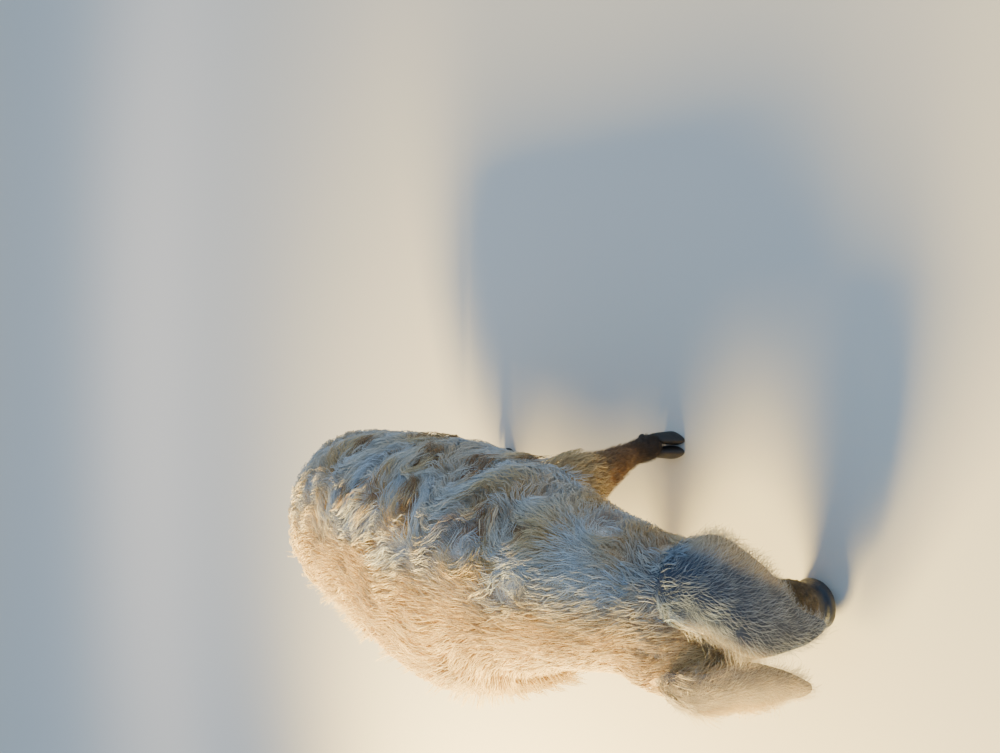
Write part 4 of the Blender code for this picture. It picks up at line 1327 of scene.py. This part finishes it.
shortFur = {
    "spacing": 0.0056,  # about one tuft in a square of this side
    "seed": 7,
    # hairs in a tuft and rings in a hair, then as shares of the length: room between hairs,
    # rise of the tip, half width and sideways bend
    "plain": (4, 2, 0.17, 0.34, 0.022, 0.14),
    "silky": (3, 3, 0.28, 0.24, 0.0085, 0.46),
    "jitter": 0.30,  # radians off the lie
}
furLengths = {
    # down the head's axis, and down the legs
    "head": (
        (-0.30, -0.02, 0.08, 0.16, 0.22, 0.28, 0.34, 0.42),
        (0.050, 0.044, 0.036, 0.029, 0.022, 0.015, 0.009, 0.006),
    ),
    "legs": ((-0.46, -0.30, -0.22, -0.14, -0.08, -0.02), (0.060, 0.046, 0.030, 0.018, 0.016, 0.014)),
    "ear": 0.036,
    "tail": 0.050,
}


def furLengthAt(points, labels):
    head = np.interp(headPlaceOf(points)[0], *furLengths["head"])
    legs = np.interp(-points[:, 2], *furLengths["legs"])
    rim = (0.15 + 0.35 * (labels == rightEar)) * earRimAt(points, labels)
    ear = furLengths["ear"] * (0.82 + 0.25 * waves(points, 0.05, 61) + rim)
    return np.choose(labels, (head, legs, head, ear, ear, np.full(len(points), furLengths["tail"])))


def tuftMesh(kind):
    # One tuft as the template: a few bent hairs of length one along x, rising along z.
    strandCount, rings, spread, lean, thick, curl = shortFur[kind]
    draw = np.random.default_rng(shortFur["seed"])
    spots, faces, shares, acrosses = [], [], [], []
    for strand in range(strandCount):
        faces += [tuple(len(spots) + corner for corner in face) for face in strandFaces(rings)]
        side = (strand - (strandCount - 1) / 2) * spread
        reach, high, bend = draw.uniform(0.78, 1.05), draw.uniform(0.5, 1.1), draw.uniform(-curl, curl)
        for ring in range(rings + 1):
            share = ring / rings
            x, y = share * reach, side * (1 - 0.35 * share) + bend * share**2
            z = lean * high * math.sin(share * 1.7) - 0.03
            wide = thick * (1 - 0.5 * share)
            if ring < rings:
                spots += [(x, y - wide, z), (x, y + wide, z), (x, y, z + wide)]
        spots.append((x, y, z))
        shares += [ring / rings for ring in range(rings) for _ in range(3)] + [1.0]
        acrosses += [0.0, 1.0, 0.5] * rings + [0.5]
    mesh = bpy.data.meshes.new(kind + "Tuft")
    mesh.from_pydata(spots, [], faces)
    mesh.shade_smooth()
    storeAttribute(mesh, "share", "FLOAT", shares)
    storeAttribute(mesh, "across", "FLOAT", acrosses)
    return mesh


def furTree(tuft, material):
    tree = bpy.data.node_groups.new(tuft.name + "Tree", "GeometryNodeTree")
    face = tree.interface
    face.new_socket("Geometry", in_out="OUTPUT", socket_type="NodeSocketGeometry")
    kinds = {"Geometry": "Geometry", "Spacing": "Float", "Patch": "Float", "Jitter": "Float", "Seed": "Int"}
    inputs = {}
    for name, kind in kinds.items():
        inputs[name] = face.new_socket(name, in_out="INPUT", socket_type=f"NodeSocket{kind}").identifier
    entry = addNode(tree, "NodeGroupInput").outputs

    def node(kind, inputs, output=0, **settings):
        return addNode(tree, kind, inputs, **settings).outputs[output]

    def field(name, kind="FLOAT"):
        return node("GeometryNodeInputNamedAttribute", {"Name": name}, data_type=kind)

    def store(geometry, name, value, **settings):
        inputs = {"Geometry": geometry, "Name": name, "Value": value}
        return node("GeometryNodeStoreNamedAttribute", inputs, **settings)

    def combine(first, second, operation="MULTIPLY"):
        return node("ShaderNodeMath", {0: first, 1: second}, operation=operation)

    def chance(low, high, seed):
        return node("FunctionNodeRandomValue", {2: low, 3: high, 8: seed}, 1, data_type="FLOAT")

    density = combine(field("furShare"), combine(entry["Spacing"], entry["Spacing"]), "DIVIDE")
    scattering = {"Mesh": entry["Geometry"], "Density": density, "Seed": entry["Seed"]}
    scatter = addNode(tree, "GeometryNodeDistributePointsOnFaces", scattering).outputs
    marked = store(scatter["Points"], "shade", chance(0.0, 1.0, 9), data_type="FLOAT", domain="POINT")
    upright = node("FunctionNodeAlignRotationToVector", {"Vector": scatter["Normal"]}, axis="Z")
    laying = {"Rotation": upright, "Vector": field("lie", "FLOAT_VECTOR")}
    laid = node("FunctionNodeAlignRotationToVector", laying, axis="X", pivot_axis="Z")
    angle = combine(entry["Jitter"], chance(-1.0, 1.0, 3))
    wander = node("FunctionNodeAxisAngleToRotation", {"Axis": (0, 0, 1), "Angle": angle})
    turned = node("FunctionNodeRotateRotation", {0: laid, 1: wander}, rotation_space="LOCAL")
    scale = combine(field("furLength"), chance(0.72, 1.15, 5))
    template = node("GeometryNodeObjectInfo", {"Object": tuft}, "Geometry")
    planting = {"Points": marked, "Instance": template, "Rotation": turned, "Scale": scale}
    real = node("GeometryNodeRealizeInstances", {"Geometry": node("GeometryNodeInstanceOnPoints", planting)})
    inPatch = node("ShaderNodeCombineXYZ", {"X": field("across"), "Y": field("share")})
    scaled = node("ShaderNodeVectorMath", {0: inPatch, "Scale": entry["Patch"]}, operation="SCALE")
    place = node("ShaderNodeVectorMath", {0: field("skinPlace", "FLOAT_VECTOR"), 1: scaled}, operation="ADD")
    mapped = store(real, "OFBake", place, data_type="FLOAT2", domain="CORNER")
    finish = node("GeometryNodeSetMaterial", {"Geometry": mapped, "Material": material})
    addNode(tree, "NodeGroupOutput", {0: finish})
    return tree, inputs


def growFur(name, where, furGroup, jitter=shortFur["jitter"]):
    # The tufts of one part of the skin, as a plain mesh.
    source = placeObject(name + "Source", skin.data.copy())
    storeAttribute(source.data, "furShare", "FLOAT", furShares * where)
    modifier = source.modifiers.new("fur", "NODES")
    modifier.node_group = furGroup
    settings = {"Spacing": shortFur["spacing"], "Seed": shortFur["seed"]}
    settings |= {"Patch": charts["patch"], "Jitter": jitter}
    for socket, value in settings.items():
        modifier[furInputs[socket]] = value
    bpy.context.view_layer.update()
    grown = bpy.data.meshes.new_from_object(source.evaluated_get(bpy.context.evaluated_depsgraph_get()))
    bpy.data.objects.remove(source)
    piece = placeObject(name, grown)
    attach(piece, "root")
    grown.calc_loop_triangles()
    print(name, len(grown.loop_triangles), "triangles")


tufts = [placeObject(kind + "Tuft", tuftMesh(kind)) for kind in ("plain", "silky")]
(plainFur, furInputs), (silkyFur, _) = (furTree(tuft, hair) for tuft in tufts)
faceShare = 0.56 + 0.9 * ramp(at, 0.18, 0.27)
faceShare *= ramp(at, coatEnds["cheekTo"] - 0.02, coatEnds["cheekTo"] + 0.01)
furShares = np.choose(labels, (
    np.zeros(len(points)),
    0.40 * ramp(0.30 - points[:, 2], 0, 0.04) * ramp(points[:, 2], 0.038, 0.042),
    faceShare * (1 - ramp(at, 0.325, 0.338)),
    0.42 + 0.42 * earRimAt(points, labels),
    0.72 + 0.35 * earRimAt(points, labels),
    np.full(len(points), 0.8),
))
skinPlaces = unwrapPlace(points, labels) - charts["patch"] / 2
storeAttribute(skin.data, "furLength", "FLOAT", furLengthAt(points, labels))
storeAttribute(skin.data, "lie", "FLOAT_VECTOR", lieAt(points, normals, labels))
storeAttribute(skin.data, "skinPlace", "FLOAT_VECTOR", np.pad(skinPlaces, ((0, 0), (0, 1))))
growFur("furFace", (labels == headPart) * (up > 0), plainFur)
growFur("furJaws", (labels == headPart) * (up <= 0), plainFur)
growFur("furLegs", labels == legPart, plainFur)
growFur("furEarLeft", labels == leftEar, silkyFur, 0.65)
growFur("furEarRight", labels == rightEar, silkyFur, 0.75)
growFur("furTail", labels == tailPart, plainFur)
for tuft in tufts:
    bpy.data.objects.remove(tuft)


# Hooves: finer claws with growth rings in place of the solids' ones.

claws = {
    "length": 0.070,
    "width": 0.034,
    "toe": 0.006,
    "turnIn": 0.0035,
    "spread": 0.0178,
    "blunt": 0.78,  # the less, the squarer seen from above
    "forward": 0.012,
    # height over the floor, share of the full size, how far back
    "rows": (
        (0.0, 0.90, -0.0010),
        (0.0012, 0.965, -0.0003),
        (0.004, 1.0, -0.0008),
        (0.012, 0.985, -0.0022),
        (0.028, 0.89, -0.008),
        (0.0436, 0.76, -0.015),
        (0.052, 0.60, -0.018),
    ),
    "rings": 52,
    "sides": 48,
    "growth": 0.00009,
    "growthStep": 0.0066,
    "inset": 0.0005,
}
dewclaws = {
    "root": (-0.026, 0.016, 0.064),
    "length": 0.034,
    "lean": (-0.55, 0.0, -0.83),
    "rows": ((0.0, 0.0090), (0.5, 0.0095), (0.9, 0.0052), (1.0, 0.0015)),
    "sides": 28,
    "rings": 26,
    "growth": 0.00022,
}


def makeClaw(name, x, y, away):
    rings = []
    top = claws["rows"][-1][0]
    for i in range(claws["rings"] + 1):
        height = top * i / claws["rings"]
        scale, back = smoothValue(claws["rows"], 1, height), smoothValue(claws["rows"], 2, height)
        ring = []
        for a in turns(claws["sides"]):
            toe = max(math.cos(a), 0.0)
            level = 2 * math.pi * (height + 0.0035 * math.cos(a)) / claws["growthStep"]
            ridge = math.sin(level) + 0.7 * math.sin(level * 0.43 + 1.0)
            grown = claws["growth"] * ridge * min(height / 0.004, 1.0) - claws["inset"]
            along = (claws["length"] / 2 * scale + grown) * math.cos(a) + back + claws["toe"] * toe**3
            across = (claws["width"] / 2 * scale + grown) * signedPower(math.sin(a), claws["blunt"])
            across = across * (1 - 0.22 * toe**2) - away * claws["turnIn"] * toe
            ring.append(Vector((x + along, y + across, height)) + centreShift)
        rings.append(ring)
    return meshFromRings(name, rings)


def makeDewclaw(name, x, y):
    lean = Vector(dewclaws["lean"]).normalized()
    root = Vector((x, y, dewclaws["root"][2])) + centreShift
    rings = []
    for i in range(dewclaws["rings"] + 1):
        share = i / dewclaws["rings"]
        radius = smoothValue(dewclaws["rows"], 1, share) + dewclaws["growth"] * math.sin(share * 42)
        middle = root + lean * dewclaws["length"] * share
        rings.append(levelRing(middle, radius, radius, dewclaws["sides"]))
    return meshFromRings(name, rings)


def makeHornMaterial():
    # Grown horn: near black, satin, with paler fibres running down it and dust along the sole.
    material, tree, shader = startMaterial("grown_hoof_horn")
    place = addNode(tree, "ShaderNodeTexCoord").outputs["Object"]
    stretched = addNode(tree, "ShaderNodeVectorMath", {0: place, 1: (1.0, 1.0, 0.12)}, operation="MULTIPLY")
    fibres, patches = addNoise(tree, stretched.outputs[0], 900.0), addNoise(tree, place, 70.0)
    height = addNode(tree, "ShaderNodeSeparateXYZ", {"Vector": place}).outputs["Z"]
    dust = mapRange(tree, height, 0.002, 0.016, 0.75, 0.05)
    worn = addNode(tree, "ShaderNodeMath", {0: dust, 1: patches}, operation="MULTIPLY").outputs[0]
    base = mixColours(tree, fibres, colour("#120F0D"), colour("#322A24"))
    setInputs(tree, shader, {
        "Base Color": mixColours(tree, worn, base, colour("#4C4238")),
        "Roughness": mapRange(tree, patches, lowest=0.48, highest=0.78),
        "Normal": addBump(tree, fibres, 0.35, 0.0004),
    })
    return material


horn = makeHornMaterial()
for name in legNames:
    side = legs[name][1]
    (_, fetlockX, *_), (_, footX, footY, *_) = legLine(name)[-2:]
    for place, away in (("inner", -side), ("outer", side)):
        clawY, dewclawY = footY + away * claws["spread"], footY + away * dewclaws["root"][1]
        claw = makeClaw(f"hoof_{name}_{place}", footX + claws["forward"], clawY, away)
        dewclaw = makeDewclaw(f"dewhoof_{name}_{place}", fetlockX + dewclaws["root"][0], dewclawY)
        for piece, node in ((claw, f"claw_{name}_{place}"), (dewclaw, f"dewclaw_{name}_{place}")):
            piece.data.materials.append(horn)
            piece.data.shade_smooth()
            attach(piece, "root")
            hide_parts(node)
print("hooves made")


# Eyes: a ball with a domed cornea, its iris and pupil marked by the angle from where it looks.

eyeParts = {"segments": 56, "rings": 40, "dome": 0.0007, "domeAngle": 38, "forwards": 0.35}


def makeEye(name, side):
    centre, outward = eyeCentre(side)
    gaze = (outward + headAlong * eyeParts["forwards"]).normalized()
    turn = gaze.to_track_quat("Z", "Y")
    ball = makeBall(name, centre, eye["radius"], (1, 1, 1), turn, eyeParts["segments"], eyeParts["rings"])
    spots = readPoints(ball.data)
    out = spots - np.array(centre)
    angle = np.degrees(np.arccos(np.clip(unit(out) @ np.array(gaze), -1, 1)))
    dome = eyeParts["dome"] * (1 - ramp(angle, eyeParts["domeAngle"] * 0.6, eyeParts["domeAngle"]))
    writePoints(ball.data, spots + unit(out) * dome[:, None])
    storeAttribute(ball.data, "gazeAngle", "FLOAT", angle)
    return ball


def makeEyeMaterial():
    # A wet eye: brown iris with fine rays, round black pupil, dark rim, all under one clear gloss.
    material, tree, shader = startMaterial("wet_eye")
    angle = readAttribute(tree, "gazeAngle")
    rays = addNoise(tree, addNode(tree, "ShaderNodeTexCoord").outputs["Object"], 1100.0, 2.0)
    iris = mixColours(tree, rays, colour("#2A170C"), colour("#7A4A22"))
    white = mixColours(tree, rays, colour("#4A3428"), colour("#8E7A68"))
    base = mixColours(tree, mapRange(tree, angle, 13.0, 15.0), colour("#050404"), iris)
    setInputs(tree, shader, {
        "Base Color": mixColours(tree, mapRange(tree, angle, 37.0, 42.0), base, white),
        "Roughness": 0.06,
        "IOR": 1.376,
        "Coat Weight": 0.6,
        "Coat Roughness": 0.02,
    })
    return material


wet = makeEyeMaterial()
for side, name in ((1, "left"), (-1, "right")):
    piece = makeEye("eyeball_" + name, side)
    piece.data.materials.append(wet)
    piece.data.shade_smooth()
    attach(piece, "root")
    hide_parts("eye_" + name)
print("eyes made")


# The setting: a plain pale floor, soft studio light, and the camera of the photo, rolled as it is.

stage = {
    "floor": "#C8C0B2",
    "level": 12.0,
    "reach": 34.0,
    "wall": 4.6,
    "sides": 96,
    "rings": 24,
    "world": "#A4CCFA",
    "worldStrength": 1.15,
    # place, what it looks at, size, power and colour of each soft box
    "boxes": {
        "warmSide": ((-0.15, -2.6, 1.80), (-0.05, 0.0, 0.45), 1.3, 980, "#FFE18C"),
        "farFloor": ((-14.0, 0.0, 9.0), (-16.0, 0.0, 0.0), 16.0, 1700, "#FFEFD8"),
        "softFront": ((3.4, 1.2, 2.6), (0.0, 0.0, 0.3), 2.5, 12, "#E4EEFF"),
    },
}


def makeFloor():
    # One pale matt sheet: level floor, then a wide round sweep up to a far wall, so that no line is drawn.
    made = bmesh.new()
    lines = []
    for bend in np.linspace(0, math.pi / 2, stage["rings"]):
        radius = stage["level"] + (stage["reach"] - stage["level"]) * math.sin(bend)
        middle = Vector((0, 0, stage["wall"] * (1 - math.cos(bend))))
        lines.append([made.verts.new(spot) for spot in levelRing(middle, radius, radius, stage["sides"])])
    made.faces.new(lines[0])
    for low, high in zip(lines, lines[1:]):
        for i in range(stage["sides"]):
            made.faces.new((low[i - 1], low[i], high[i], high[i - 1]))
    material, tree, shader = startMaterial("matt_floor")
    setInputs(tree, shader, {"Base Color": colour(stage["floor"]), "Roughness": 0.85})
    piece = placeBuilt("floor", made, material)
    piece.data.shade_smooth()


def addLights():
    for name, (place, target, size, power, tint) in stage["boxes"].items():
        light = bpy.data.lights.new(name, "AREA")
        light.energy, light.size, light.color = power, size, colour(tint)[:3]
        lamp = bpy.data.objects.new(name, light)
        lamp.location = place
        lamp.rotation_euler = (Vector(target) - Vector(place)).to_track_quat("-Z", "Y").to_euler()
        lamp.visible_camera = False
        bpy.context.scene.collection.objects.link(lamp)
    world = bpy.data.worlds.new("studio")
    bpy.context.scene.world = world
    world.use_nodes = True
    background = world.node_tree.nodes["Background"]
    background.inputs["Color"].default_value = colour(stage["world"])
    background.inputs["Strength"].default_value = stage["worldStrength"]


lens = {
    "place": (1.717, 0.452, 1.3),
    "down": 29.7,  # degrees below level
    "focal": 27.072,  # millimetres, for a picture 36 mm wide
}


def addCamera():
    down = math.radians(lens["down"])
    forward = Vector((-math.cos(down), 0, -math.sin(down)))
    right = Vector((0, 1, 0))
    upward = right.cross(forward)
    data = bpy.data.cameras.new("camera")
    data.lens = lens["focal"]
    camera = bpy.data.objects.new("camera", data)
    turn = Matrix([[c[i] for c in (-upward, right, -forward)] for i in range(3)])
    camera.matrix_world = Matrix.Translation(lens["place"]) @ turn.to_4x4()
    bpy.context.scene.collection.objects.link(camera)
    bpy.context.scene.camera = camera


makeFloor()
addLights()
addCamera()
print("setting ready")
